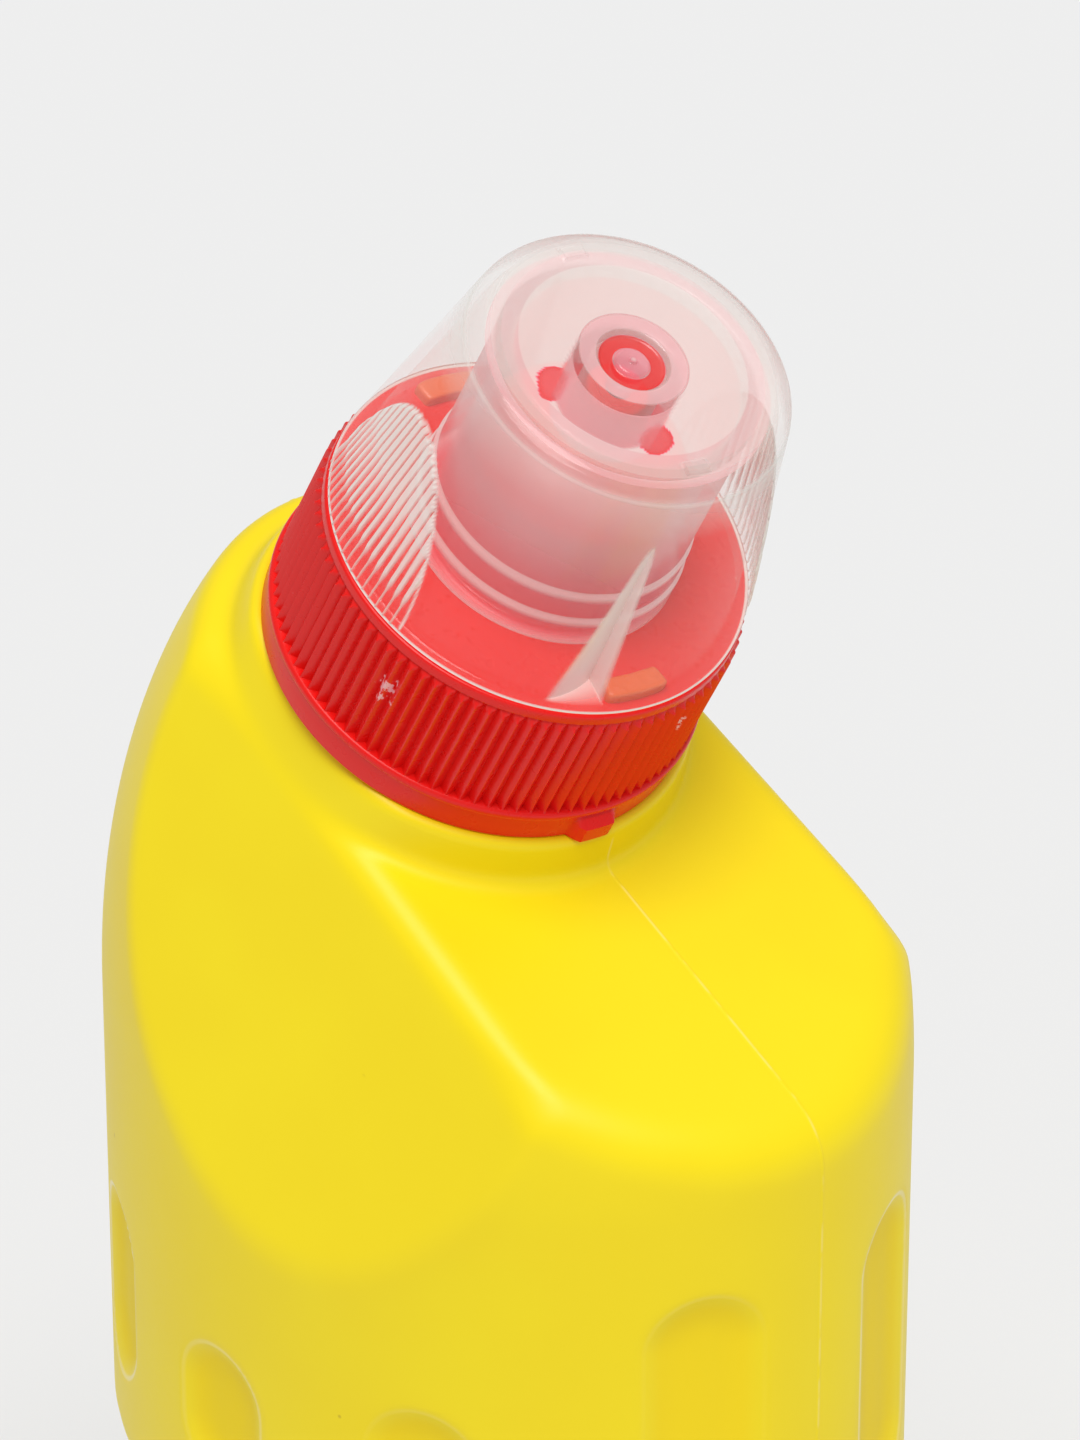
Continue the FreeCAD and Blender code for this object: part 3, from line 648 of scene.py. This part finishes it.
def rib_share(turn, rise):
    """Ribs of both squeeze pads, and the pads' edges: how much of a rib, and how much of the
    painted highlight along the edge, each point has. A pad ends in an arch, half an ellipse as
    high as the pad.
    Each rib starts as a point near the mouth and widens upwards."""
    sizes = bpy.context.scene.overcap_sizes
    off = (turn - sizes.pad_angle + math.pi / 2) % math.pi - math.pi / 2
    width = sizes.pad_half * sizes.mouth_radius
    side, up = off * sizes.mouth_radius, rise
    level = 1 - (side / width) ** 2 - (up / sizes.pad_height) ** 2
    above = level / (2 * np.hypot(side / width ** 2, up / sizes.pad_height ** 2) + 1.0)
    inside = np.clip(above / (0.3 * MM) + 0.5, 0, 1)
    edge = np.clip(1 - np.abs(above - 0.05 * MM) / (0.22 * MM), 0, 1) * (rise > 0.5 * MM)
    phase = np.abs((off / sizes.rib_pitch + 0.5) % 1.0 - 0.5) * 2
    width = (0.05 + 0.5 * smooth_step(rise, 0.3 * MM, 6 * MM)
             + 0.32 * smooth_step(rise, 3 * MM, 15 * MM))
    rib = np.clip((width - phase) / 0.22 + 0.5, 0, 1) * (rise > 0.45 * MM)
    return inside * rib, edge


def fin_share(turn, rise):
    """Both fins inside the skirt: a gentle face, a ridge and a steep face, which get lower
    towards the fin's tip. 1 on the ridge at the mouth."""
    sizes = bpy.context.scene.overcap_sizes
    height = np.clip(rise / sizes.fin_height, 0, 1)
    start = sizes.fin_start + (sizes.fin_end - sizes.fin_start) * 0.75 * height
    ridge = sizes.fin_end - math.radians(1.3)
    off = (turn - sizes.fin_end + math.pi / 2) % math.pi - math.pi / 2 + sizes.fin_end
    gentle = np.clip((off - start) / (ridge - start), 0, 1)
    steep = np.clip((sizes.fin_end - off) / (sizes.fin_end - ridge), 0, 1)
    tall = (1 - height) ** 0.8 * (rise <= sizes.fin_height)
    return np.minimum(gentle ** 1.3, steep) * tall


def roof_patch(turn, radius):
    """The milky roof's clear oval patch beside the seal tube, and the two painted red spots at its
    far end, which stand in for the spout's red crown seen through the roof: two shares between 0
    and 1."""
    sizes = bpy.context.scene.overcap_sizes
    lean = math.radians(-61.3)
    ahead = radius * np.cos(turn - lean)
    aside = radius * np.sin(turn - lean)
    gap = np.hypot(ahead - np.clip(ahead, 0, 6.6 * MM), aside) - sizes.tube_radius
    spot = np.hypot((ahead - 7.9 * MM) / (2.1 * MM), (np.abs(aside) - 5.5 * MM) / (1.4 * MM))
    spot += 0.1 * np.sin(ahead * 1500 + aside * 900)
    return 1 - smooth_step(gap, -0.1 * MM, 0.35 * MM), 1 - smooth_step(spot, 0.6, 1.1)


def mark_share(turn, radius):
    """The two small blocks on the roof: 1 on a block and 0 beside it."""
    sizes = bpy.context.scene.overcap_sizes
    off = (turn - sizes.mark_angle + math.pi / 2) % math.pi - math.pi / 2
    across = np.abs(off) * radius
    along = np.abs(radius - sizes.mark_radius - 0.75 * MM)
    return (np.clip((1.4 * MM - across) / (0.2 * MM), 0, 1)
            * np.clip((0.8 * MM - along) / (0.2 * MM), 0, 1))


class Stack:
    """Rings in order about the neck axis, with two values for the material at each point:
    how milky it is, with painted highlights in places, and how much painted red bounce
    light, a pink cast from the red parts, it has."""

    def __init__(self):
        self.rings, self.haze, self.blush = [], [], []

    def add(self, radius, turns, height, haze, blush=0.0):
        self.rings.append(on_neck(radius, turns, height))
        self.haze.append(np.broadcast_to(haze, np.shape(turns)).ravel())
        self.blush.append(np.broadcast_to(blush, np.shape(turns)).ravel())


# How milky the clear plastic is, from 0 to 1, at each of its parts.
HAZE_WALL = 0.025
HAZE_ROOF = 0.48
HAZE_SKIRT = 0.3
HAZE_EDGE = 0.75


def overcap_outside(stack, foot, top, taper, fine, roof, inner):
    """From the mouth up the outer skirt with its ribs, and over the roof to its middle."""
    sizes = bpy.context.scene.overcap_sizes
    stack.add(sizes.mouth_radius - sizes.wall + 0.15 * MM, fine, foot, HAZE_WALL)
    stack.add(sizes.mouth_radius - 0.3 * MM, fine, foot, HAZE_WALL)
    stack.add(sizes.mouth_radius - 0.15 * MM, fine, foot, HAZE_EDGE)
    stack.add(sizes.mouth_radius, fine, foot + 0.12 * MM, HAZE_EDGE)
    stack.add(sizes.mouth_radius, fine, foot + 0.34 * MM, HAZE_EDGE)
    for rise in np.concatenate([[0.46], np.linspace(0.7, 17.9, 48)]) * MM:
        rib, edge = rib_share(fine, rise)
        # The ribs are made milkier as a painted reflection of their bright faces, and the pad's
        # edge gets a painted highlight line.
        haze = HAZE_WALL + rib * 0.62 + edge * 0.6
        stack.add(sizes.mouth_radius - taper * rise + sizes.rib_depth * rib, fine, foot + rise,
                  np.minimum(haze, 0.85))
    arc = rounded([(sizes.mouth_radius - taper * 18.4 * MM, foot + 18.4 * MM, 0),
                   (sizes.mouth_radius - taper * 21 * MM, foot + 21 * MM, 0),
                   (sizes.roof_radius, top, sizes.corner), (14.2 * MM, top, 0)], 9)
    for radius, height in arc:
        # Painted highlight lines on the corner's rounding: one low on its curve, one near the
        # roof's edge.
        rim_highlight = max(1 - abs(height - (top - 1.5 * MM)) / (0.5 * MM), 0)
        lip_highlight = max(1 - abs(radius - 14.4 * MM) / (0.35 * MM), 0)
        turned = float(height > top - 1.9 * MM)
        stack.add(radius, roof, height, HAZE_WALL + 0.08 * turned + 0.34 * rim_highlight + 0.2 * lip_highlight)
    middle = np.concatenate([np.linspace(14.1, 11.2, 20), np.linspace(11, 5.6, 18)]) * MM
    for radius in middle:
        mark = mark_share(roof, radius)
        clear, red = roof_patch(roof, radius)
        milky = HAZE_ROOF * (1 - 0.88 * clear) * (1 - red) + 0.26 * red
        annulus = smooth_step(radius, 11.3 * MM, 11.5 * MM) - smooth_step(radius, 13.0 * MM,
                                                                        13.2 * MM)
        if radius > 11.4 * MM:
            milky = 0.3 + 0.1 * annulus
        # The annulus gets a little painted red bounce light, and the red spots pass 1.2 so that
        # they are painted the collar's red.
        stack.add(radius, roof, top + 0.3 * MM * mark, milky + 0.3 * mark * (1 - mark),
                  0.03 + 0.17 * annulus + 1.87 * (red > 0.02))
    profile = rounded([(5.5 * MM, top, 0), (5.3 * MM, top, 0), (4.4 * MM, top, 0),
                       (sizes.dimple_radius, top, 0.4 * MM),
                       (sizes.dimple_radius - 0.35 * MM, top - sizes.dimple_depth, 0.3 * MM),
                       (sizes.plug_root + 0.2 * MM, top - sizes.dimple_depth, 0.2 * MM),
                       (sizes.plug_root - 0.1 * MM, top - 0.25 * MM, 0.3 * MM),
                       (0.45 * MM, top - 0.25 * MM, 0.1 * MM), (0.35 * MM, top, 0)], 5)
    for radius, height in profile:
        tube = float(sizes.tube_bore - 0.2 * MM < radius < 5.4 * MM)
        nub = float(radius < sizes.plug_root + 0.1 * MM)
        pit = float(sizes.plug_root + 0.15 * MM < radius < sizes.dimple_radius - 0.25 * MM)
        # Painted red bounce light on the seal tube and the nub, and the pit painted the collar's
        # red for the nozzle tip seen through the roof.
        stack.add(radius, inner, height, 0.06 + 0.36 * tube + 0.3 * nub + 0.6 * pit,
                  tube * 0.4 + nub * 0.8 + pit * 1.9)
    stack.add(0.0, 0.0, top + 0.02 * MM, 0.5, 0.2)


def overcap_inside(stack, foot, top, taper, fine, roof, inner):
    """From the middle of the roof's underside down the plug, down and up the seal tube and
    the inner skirt, and down the inside of the outer skirt with its fins to the mouth."""
    sizes = bpy.context.scene.overcap_sizes
    under = top - sizes.roof_wall
    skirt_foot = foot + sizes.skirt_lift
    step, tall = sizes.step, sizes.step_height
    stack.add(0.0, 0.0, top - sizes.plug_depth, 0.3, 1.0)
    profile = rounded([
        (0.3 * MM, top - sizes.plug_depth, 0),
        (sizes.plug_radius, top - sizes.plug_depth, 0.4 * MM),
        (sizes.plug_root, top - 2.7 * MM, 0.3 * MM),
        (sizes.plug_root, under, 0.2 * MM),
        (sizes.tube_bore, under, 0.3 * MM),
        (sizes.tube_bore, top - sizes.tube_height, 0.3 * MM),
        (sizes.tube_radius, top - sizes.tube_height, 0.3 * MM),
        (sizes.tube_radius, under, 0.5 * MM),
        (sizes.skirt_bore, under, 0.5 * MM),
        (sizes.skirt_bore, skirt_foot + 12 * MM, 0),
        (sizes.skirt_bore, skirt_foot + 0.9 * MM, 0),
        (sizes.skirt_bore, skirt_foot, 0.35 * MM),
        (sizes.skirt_radius + 2 * step, skirt_foot, 0.35 * MM),
        (sizes.skirt_radius + 2 * step, skirt_foot + 0.9 * MM, 0),
        (sizes.skirt_radius + 2 * step, skirt_foot + tall - 0.7 * MM, 0),
        (sizes.skirt_radius + 2 * step, skirt_foot + tall, 0.15 * MM),
        (sizes.skirt_radius + step, skirt_foot + tall + step, 0.2 * MM),
        (sizes.skirt_radius + step, skirt_foot + tall + step + 0.6 * MM, 0),
        (sizes.skirt_radius + step, skirt_foot + 2 * tall - 0.7 * MM, 0),
        (sizes.skirt_radius + step, skirt_foot + 2 * tall, 0.15 * MM),
        (sizes.skirt_radius, skirt_foot + 2 * tall + step, 0.2 * MM),
        (sizes.skirt_radius, skirt_foot + 2 * tall + step + 0.7 * MM, 0),
        (sizes.skirt_radius, skirt_foot + 2 * tall + 6 * MM, 0),
        (sizes.skirt_radius, under, 0.5 * MM),
        (14.2 * MM, under, 0)], 5)
    for radius, height in profile:
        low = height < skirt_foot + 2 * tall + 2 * step
        in_tube = radius < sizes.tube_radius + 0.1 * MM
        # Painted highlight lines along the edges of the inner skirt's steps, made milkier and less
        # pink.
        step_highlight = low and radius > sizes.skirt_radius and min(
            abs(height - skirt_foot - place) for place in
            (0.2 * MM, tall + step / 2, 2 * tall + step / 2)) < 0.35 * MM
        up = min(max((height - skirt_foot) / (14 * MM), 0.0), 1.0)
        at_root = in_tube and height > top - 2.7 * MM
        haze = 0.22 if at_root else 0.5 if in_tube or step_highlight else HAZE_SKIRT * (0.25 + 0.8 * up)
        facing_in = abs(radius - sizes.skirt_bore) < 0.3 * MM
        # Painted red bounce light: pink on the inner skirt and tube from the red spout within,
        # less higher up, on the step highlights and at the tube's root.
        bounce_share = 0.3 if step_highlight else 1.0 - (0.9 if facing_in else 0.45) * up
        bounce_share = 0.2 if at_root else 0.75 if in_tube else bounce_share
        stack.add(radius, inner, height, haze, bounce_share)
    corner = rounded([(14.2 * MM, under, 0),
                      (sizes.roof_radius + taper * sizes.roof_wall - sizes.wall, under, 1.2 * MM),
                      (sizes.mouth_radius - sizes.wall - taper * 21 * MM, foot + 21 * MM, 0)])
    for radius, height in corner:
        stack.add(radius, roof, height, HAZE_WALL)
    for rise in np.concatenate([np.linspace(20.2, 0.5, 25), [0.12]]) * MM:
        fin = fin_share(fine, rise)
        stack.add(sizes.mouth_radius - sizes.wall - taper * rise - fin * sizes.fin_depth, fine,
                  foot + rise, np.minimum(HAZE_WALL + 0.62 * smooth_step(fin, 0.0, 0.12), 0.85),
                  0.12 * (fin > 0))


def overcap_skin():
    """The overcap: one closed surface, walked from the underside's middle out to the mouth
    and back over the outside to the roof's middle."""
    sizes = bpy.context.scene.overcap_sizes
    collar = bpy.context.scene.collar_sizes
    foot = collar.foot + collar.height + sizes.gap
    top = foot + sizes.height
    taper = (sizes.mouth_radius - sizes.roof_radius) / sizes.height
    turns = [np.linspace(0, TURN, count, endpoint=False)
             for count in (FINE_POINTS, ROOF_POINTS, INNER_POINTS)]
    stack = Stack()
    overcap_inside(stack, foot, top, taper, *turns)
    overcap_outside(stack, foot, top, taper, *turns)
    return skin(stack.rings), np.concatenate(stack.haze), np.concatenate(stack.blush)


# Materials


class Value:
    """A number worked out by a material's nodes. Python's operators add Math nodes."""

    def __init__(self, paint, socket):
        self.paint = paint
        self.socket = socket

    def math(self, operation, *others):
        made = self.paint.tree.nodes.new("ShaderNodeMath")
        made.operation = operation
        for place, item in enumerate((self, *others)):
            self.paint.feed(made.inputs[place], item)
        return Value(self.paint, made.outputs[0])

    def __add__(self, other):
        return self.math("ADD", other)

    def __radd__(self, other):
        return self.math("ADD", other)

    def __sub__(self, other):
        return self.math("SUBTRACT", other)

    def __rsub__(self, other):
        return (self * -1.0).math("ADD", other)

    def __mul__(self, other):
        return self.math("MULTIPLY", other)

    def __rmul__(self, other):
        return self.math("MULTIPLY", other)

    def __rtruediv__(self, other):
        return self.math("POWER", -1.0) * other


class Paint:
    """A material under construction."""

    def __init__(self, name):
        self.material = bpy.data.materials.new(name)
        self.material.use_nodes = True
        self.tree = self.material.node_tree
        self.tree.nodes.clear()

    def feed(self, socket, item):
        """Links a value to a socket, or sets the socket to a plain number or colour."""
        if isinstance(item, Value):
            self.tree.links.new(item.socket, socket)
        else:
            socket.default_value = item

    def node(self, kind, inputs=None, output=0, **settings):
        """A node of a type, with its settings made first and then its sockets."""
        made = self.tree.nodes.new(kind)
        for key, setting in settings.items():
            setattr(made, key, setting)
        for key, item in (inputs or {}).items():
            self.feed(made.inputs[key], item)
        return Value(self, made.outputs[output])

    def place(self):
        """The point on the piece, in its own coordinates."""
        return self.node("ShaderNodeTexCoord", output="Object")

    def step(self, value, low, high):
        """0 below low, 1 above high, and an S curve between them."""
        return self.node("ShaderNodeMapRange", {"Value": value, "From Min": low, "From Max": high},
                         interpolation_type="SMOOTHSTEP")

    def noise(self, place, scale, detail=2.0, roughness=0.5):
        return self.node("ShaderNodeTexNoise", {"Vector": place, "Scale": scale, "Detail": detail,
                                                "Roughness": roughness})

    def mix(self, share, first, second):
        """A colour between two colours."""
        made = self.tree.nodes.new("ShaderNodeMix")
        made.data_type = "RGBA"
        made.clamp_factor = True
        for key, item in ((0, share), (6, first), (7, second)):
            self.feed(made.inputs[key], item)
        return Value(self, made.outputs[2])

    def bump(self, height, strength, distance):
        return self.node("ShaderNodeBump", {"Height": height, "Strength": strength,
                                            "Distance": distance})

    def done(self, shader):
        """Joins the last shader to the material's output."""
        out = self.tree.nodes.new("ShaderNodeOutputMaterial")
        self.feed(out.inputs["Surface"], shader)
        return self.material


def rgba(value):
    return (*value[:3], 1.0)


def bottle_plastic():
    """Satin blown plastic: a fine moulded grain, faint flow marks, a few dark specks and a pale
    broken line along the mould seam, with painted shade that deepens the yellow on the floors
    of the finger recesses and a painted highlight along their rims.
    """
    paint = Paint("bottle_plastic")
    base = bpy.context.scene.finish_colours.bottle
    place = paint.place()
    grain = paint.noise(place, 1400.0, 3.0, 0.6)
    broad = paint.noise(place, 45.0, 2.0, 0.5)
    tone = paint.mix(paint.step(broad, 0.35, 0.65), rgba(base),
                     rgba([c * f for c, f in zip(base, (0.985, 0.965, 0.9))]))
    grip = paint.node("ShaderNodeAttribute", output="Fac", attribute_name="grip")
    slant = paint.node("ShaderNodeLayerWeight", {"Blend": 0.5}, output="Facing")
    floor = paint.step(grip, 0.2, 2.4)
    # Painted shade: the yellow is made deeper and darker on the floors of the finger recesses.
    tone = paint.mix(floor * 0.85, tone, rgba([c * f for c, f in zip(base, (1.0, 0.93, 0.4))]))
    # Painted highlight: a pale line along each recess's rim, stronger where the surface is seen at
    # a slant.
    rim_highlight = 1.0 - paint.step((grip - 0.05).math("ABSOLUTE"), 0.05, 0.42)
    rim_highlight = rim_highlight * slant.math("POWER", 3.0) * 1.2
    tone = paint.mix(rim_highlight, tone, (1.0, 0.88, 0.50, 1.0))
    split = paint.tree.nodes.new("ShaderNodeSeparateXYZ")
    paint.feed(split.inputs[0], place)
    beside = Value(paint, split.outputs[1]).math("ABSOLUTE")
    # A pale broken line along the mould seam.
    seam_breaks = paint.step(paint.noise(place, 300.0), 0.42, 0.6)
    seam = (1.0 - paint.step(beside, 0.00005, 0.0002)) * seam_breaks * 0.28
    tone = paint.mix(seam, tone, (1.0, 0.86, 0.36, 1.0))
    specks = paint.node("ShaderNodeTexVoronoi", {"Vector": place, "Scale": 110.0,
                                                 "Randomness": 1.0})
    few = paint.step(paint.noise(place, 90.0), 0.55, 0.6)
    speck = (1.0 - paint.step(specks, 0.02, 0.04)) * few * 0.45
    tone = paint.mix(speck, tone, (0.40, 0.20, 0.01, 1.0))
    shader = paint.node("ShaderNodeBsdfPrincipled", {
        "Base Color": tone, "Roughness": grain * 0.08 + 0.38 + floor * 0.2,
        "Normal": paint.bump(grain, 0.06, 0.00004), "IOR": 1.5, "Specular IOR Level": 0.33})
    return paint.done(shader)


# Pale scuffs on the knurl: place and reach, in millimetres.
SCUFFS = [((6.4, -21.2, 198.6), 2.4),
          ((21.4, 3.2, 192.0), 1.3),
          ((-9.1, -19.2, 202.8), 0.8)]


def collar_plastic():
    """Glossy moulded red plastic, with fine pale dust, pale scuffs on the knurl, and a painted
    orange reflection of the yellow bottle on the stop lugs.
    """
    paint = Paint("collar_plastic")
    base = bpy.context.scene.finish_colours.collar
    place = paint.place()
    fine = paint.noise(place, 500.0, 2.0, 0.5)
    dust = paint.node("ShaderNodeTexVoronoi", {"Vector": place, "Scale": 420.0})
    spot = (1.0 - paint.step(dust, 0.04, 0.08)) * paint.step(fine, 0.6, 0.66) * 0.5
    tone = paint.mix(spot, rgba(base), (0.9, 0.35, 0.3, 1.0))
    scratch = paint.noise(place, 900.0, 3.0, 0.7)
    for centre, reach in SCUFFS:
        gap = paint.node("ShaderNodeVectorMath", {0: place, 1: [c * MM for c in centre]},
                         output="Value", operation="DISTANCE")
        near = 1.0 - paint.step(gap, 0.2 * reach * MM, reach * MM)
        scuff = paint.step(scratch + near * 0.2, 0.66, 0.72) * paint.step(near, 0.0, 0.3)
        tone = paint.mix(scuff * 0.85, tone, (0.92, 0.55, 0.58, 1.0))
    # Painted reflection: the stop lugs are tinted orange as if lit by the yellow bottle.
    amber = paint.node("ShaderNodeAttribute", output="Fac", attribute_name="amber")
    tone = paint.mix(amber * 0.5, tone, (0.8, 0.25, 0.05, 1.0))
    shader = paint.node("ShaderNodeBsdfPrincipled", {
        "Base Color": tone, "Roughness": fine * 0.08 + 0.24, "IOR": 1.5,
        "Specular IOR Level": 0.33})
    return paint.done(shader)


def overcap_plastic():
    """Clear moulded plastic with a milky cast: what lies behind it shows through, less where
    it is thick or seen at a slant, under a cream milkiness with painted highlights in places,
    which takes a painted pink cast of red bounce light over the red parts and is painted
    red where they are seen through."""
    paint = Paint("overcap_plastic")
    colours = bpy.context.scene.finish_colours
    haze = paint.node("ShaderNodeAttribute", output="Fac", attribute_name="haze")
    blush = paint.node("ShaderNodeAttribute", output="Fac", attribute_name="blush")
    slant = paint.node("ShaderNodeLayerWeight", {"Blend": 0.5}, output="Facing")
    path = 1.0 / (1.0 - slant).math("MAXIMUM", 0.36)
    milky = 1.0 - (1.0 - haze).math("POWER", path)
    shadow = paint.node("ShaderNodeLightPath", output="Is Shadow Ray")
    milky = milky * (1.0 - shadow * 0.85)
    fine = paint.noise(paint.place(), 700.0, 2.0, 0.5)
    # Painted red bounce light: the milky part turns pink by the red bounce value.
    tone = paint.mix(blush, rgba(colours.overcap), rgba(colours.blush))
    # Past 1.2 the milky part is painted the collar's red: painted red spots for the red parts seen
    # through the roof.
    tone = paint.mix(paint.step(blush, 1.2, 1.8), tone, rgba(colours.collar))
    cloudy = paint.node("ShaderNodeBsdfPrincipled", {
        "Base Color": tone, "Roughness": 0.3, "IOR": 1.45,
        "Normal": paint.bump(fine, 0.02, 0.00003)})
    through = paint.node("ShaderNodeBsdfTransparent", {"Color": (1.0, 0.995, 0.99, 1.0)})
    body = paint.node("ShaderNodeMixShader", {0: milky, 1: through, 2: cloudy})
    glaze = (slant.math("POWER", 5.0) * 0.12 + 0.02) * (1.0 - shadow)
    gloss = paint.node("ShaderNodeBsdfGlossy", {"Color": (1.0, 1.0, 1.0, 1.0),
                                                "Roughness": 0.12})
    return paint.done(paint.node("ShaderNodeMixShader", {0: glaze, 1: body, 2: gloss}))


def backdrop_paint():
    """A plain pale floor."""
    paint = Paint("backdrop")
    shade = rgba(bpy.context.scene.finish_colours.backdrop)
    matte = paint.node("ShaderNodeBsdfDiffuse", {"Color": shade})
    return paint.done(matte)


# Operators


class BOTTLE_OT_bottle(bpy.types.Operator):
    """Makes the blown bottle"""
    bl_idname = "bottle.body"
    bl_label = "Bottle"

    def execute(self, context):
        shape = bottle_skin()
        grip = np.clip(grip_inside(shape[0]) / MM, -2, 5)
        piece = mesh_piece("bottle_skin", [shape], bottle_plastic(), sharp=60, grip=grip)
        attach(piece, "body")
        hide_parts("bottle")
        return {"FINISHED"}


class BOTTLE_OT_collar(bpy.types.Operator):
    """Makes the knurled collar with its spout"""
    bl_idname = "bottle.collar"
    bl_label = "Collar and spout"

    def execute(self, context):
        parts = collar_skin()
        # 1 on the stop lugs, which get the painted orange reflection, and 0 on the collar.
        amber = np.concatenate([np.full(len(points), float(place > 0))
                                for place, (points, _) in enumerate(parts)])
        piece = mesh_piece("collar_and_spout", parts, collar_plastic(), sharp=28, amber=amber)
        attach(piece, "body")
        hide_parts("nozzle_collar")
        return {"FINISHED"}


class BOTTLE_OT_overcap(bpy.types.Operator):
    """Makes the clear overcap"""
    bl_idname = "bottle.overcap"
    bl_label = "Overcap"

    def execute(self, context):
        shape, haze, blush = overcap_skin()
        piece = mesh_piece("clear_overcap", [shape], overcap_plastic(), sharp=40, haze=haze,
                           blush=blush)
        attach(piece, "cap")
        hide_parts("overcap")
        return {"FINISHED"}


class BOTTLE_OT_stage(bpy.types.Operator):
    """Makes the floor, the lamps and the camera"""
    bl_idname = "bottle.stage"
    bl_label = "Stage"

    def execute(self, context):
        scene = context.scene
        settings = scene.stage_settings
        mesh = bpy.data.meshes.new("floor")
        reach = 6.0
        mesh.from_pydata([(-reach, -reach, 0), (reach, -reach, 0), (reach, reach, 0),
                          (-reach, reach, 0)], [], [(0, 1, 2, 3)])
        mesh.materials.append(backdrop_paint())
        floor = bpy.data.objects.new("floor", mesh)
        scene.collection.objects.link(floor)
        self.lamps(scene)
        self.world(scene)
        turn, rise = settings.view_turn, settings.view_height
        side = np.array([math.cos(turn), math.sin(turn), 0.0])
        back = np.array([math.sin(turn) * math.cos(rise), -math.cos(turn) * math.cos(rise),
                         math.sin(rise)])
        target = settings.target_side * side + np.array([0, 0, settings.target_height])
        camera = bpy.data.cameras.new("camera")
        camera.lens = settings.lens
        camera.clip_end = 20.0
        eye = bpy.data.objects.new("camera", camera)
        eye.location = Vector(target + settings.view_distance * back)
        eye.rotation_euler = Vector(-back).to_track_quat("-Z", "Y").to_euler()
        scene.collection.objects.link(eye)
        scene.camera = eye
        scene.view_settings.view_transform = "Standard"
        return {"FINISHED"}

    def lamps(self, scene):
        """One wide soft light from above, as even over the floor as the sun's."""
        data = bpy.data.lights.new("overhead", "SUN")
        data.angle = math.radians(38)
        data.energy = 2.36
        lamp = bpy.data.objects.new("overhead", data)
        lamp.location = (0.3, -0.3, 1.0)
        aim = Vector((-0.32, 0.25, -0.91))
        lamp.rotation_euler = aim.to_track_quat("-Z", "Y").to_euler()
        scene.collection.objects.link(lamp)

    def world(self, scene):
        """An even pale surround, which looks like the backdrop."""
        world = bpy.data.worlds.new("surround")
        world.use_nodes = True
        tree = world.node_tree
        background = tree.nodes["Background"]
        background.inputs["Color"].default_value = (1.0, 1.0, 1.0, 1.0)
        seen = tree.nodes.new("ShaderNodeLightPath")
        strength = tree.nodes.new("ShaderNodeMapRange")
        strength.inputs["To Min"].default_value = 0.42
        strength.inputs["To Max"].default_value = 0.855
        tree.links.new(seen.outputs["Is Camera Ray"], strength.inputs["Value"])
        tree.links.new(strength.outputs["Result"], background.inputs["Strength"])
        scene.world = world
        scene.cycles.transparent_max_bounces = 32


class BOTTLE_PT_panel(bpy.types.Panel):
    """Lists the pieces in the sidebar"""
    bl_idname = "BOTTLE_PT_panel"
    bl_label = "Bottle"
    bl_space_type = "VIEW_3D"
    bl_region_type = "UI"
    bl_category = "Bottle"

    def draw(self, context):
        for operator in OPERATORS:
            self.layout.operator(operator.bl_idname)


OPERATORS = (BOTTLE_OT_bottle, BOTTLE_OT_collar, BOTTLE_OT_overcap, BOTTLE_OT_stage)
GROUPS = {"bottle_sizes": BottleSizes, "collar_sizes": CollarSizes,
          "overcap_sizes": OvercapSizes, "finish_colours": FinishColours,
          "stage_settings": StageSettings}


def register():
    for group in GROUPS.values():
        bpy.utils.register_class(group)
    for key, group in GROUPS.items():
        setattr(bpy.types.Scene, key, PointerProperty(type=group))
    for cls in (*OPERATORS, BOTTLE_PT_panel):
        bpy.utils.register_class(cls)


def unregister():
    for cls in (BOTTLE_PT_panel, *reversed(OPERATORS)):
        bpy.utils.unregister_class(cls)
    for key in GROUPS:
        delattr(bpy.types.Scene, key)
    for group in GROUPS.values():
        bpy.utils.unregister_class(group)


def main():
    """Makes every piece and the stage."""
    register()
    bpy.ops.bottle.body()
    bpy.ops.bottle.collar()
    bpy.ops.bottle.overcap()
    bpy.ops.bottle.stage()


if __name__ == "__main__":
    main()
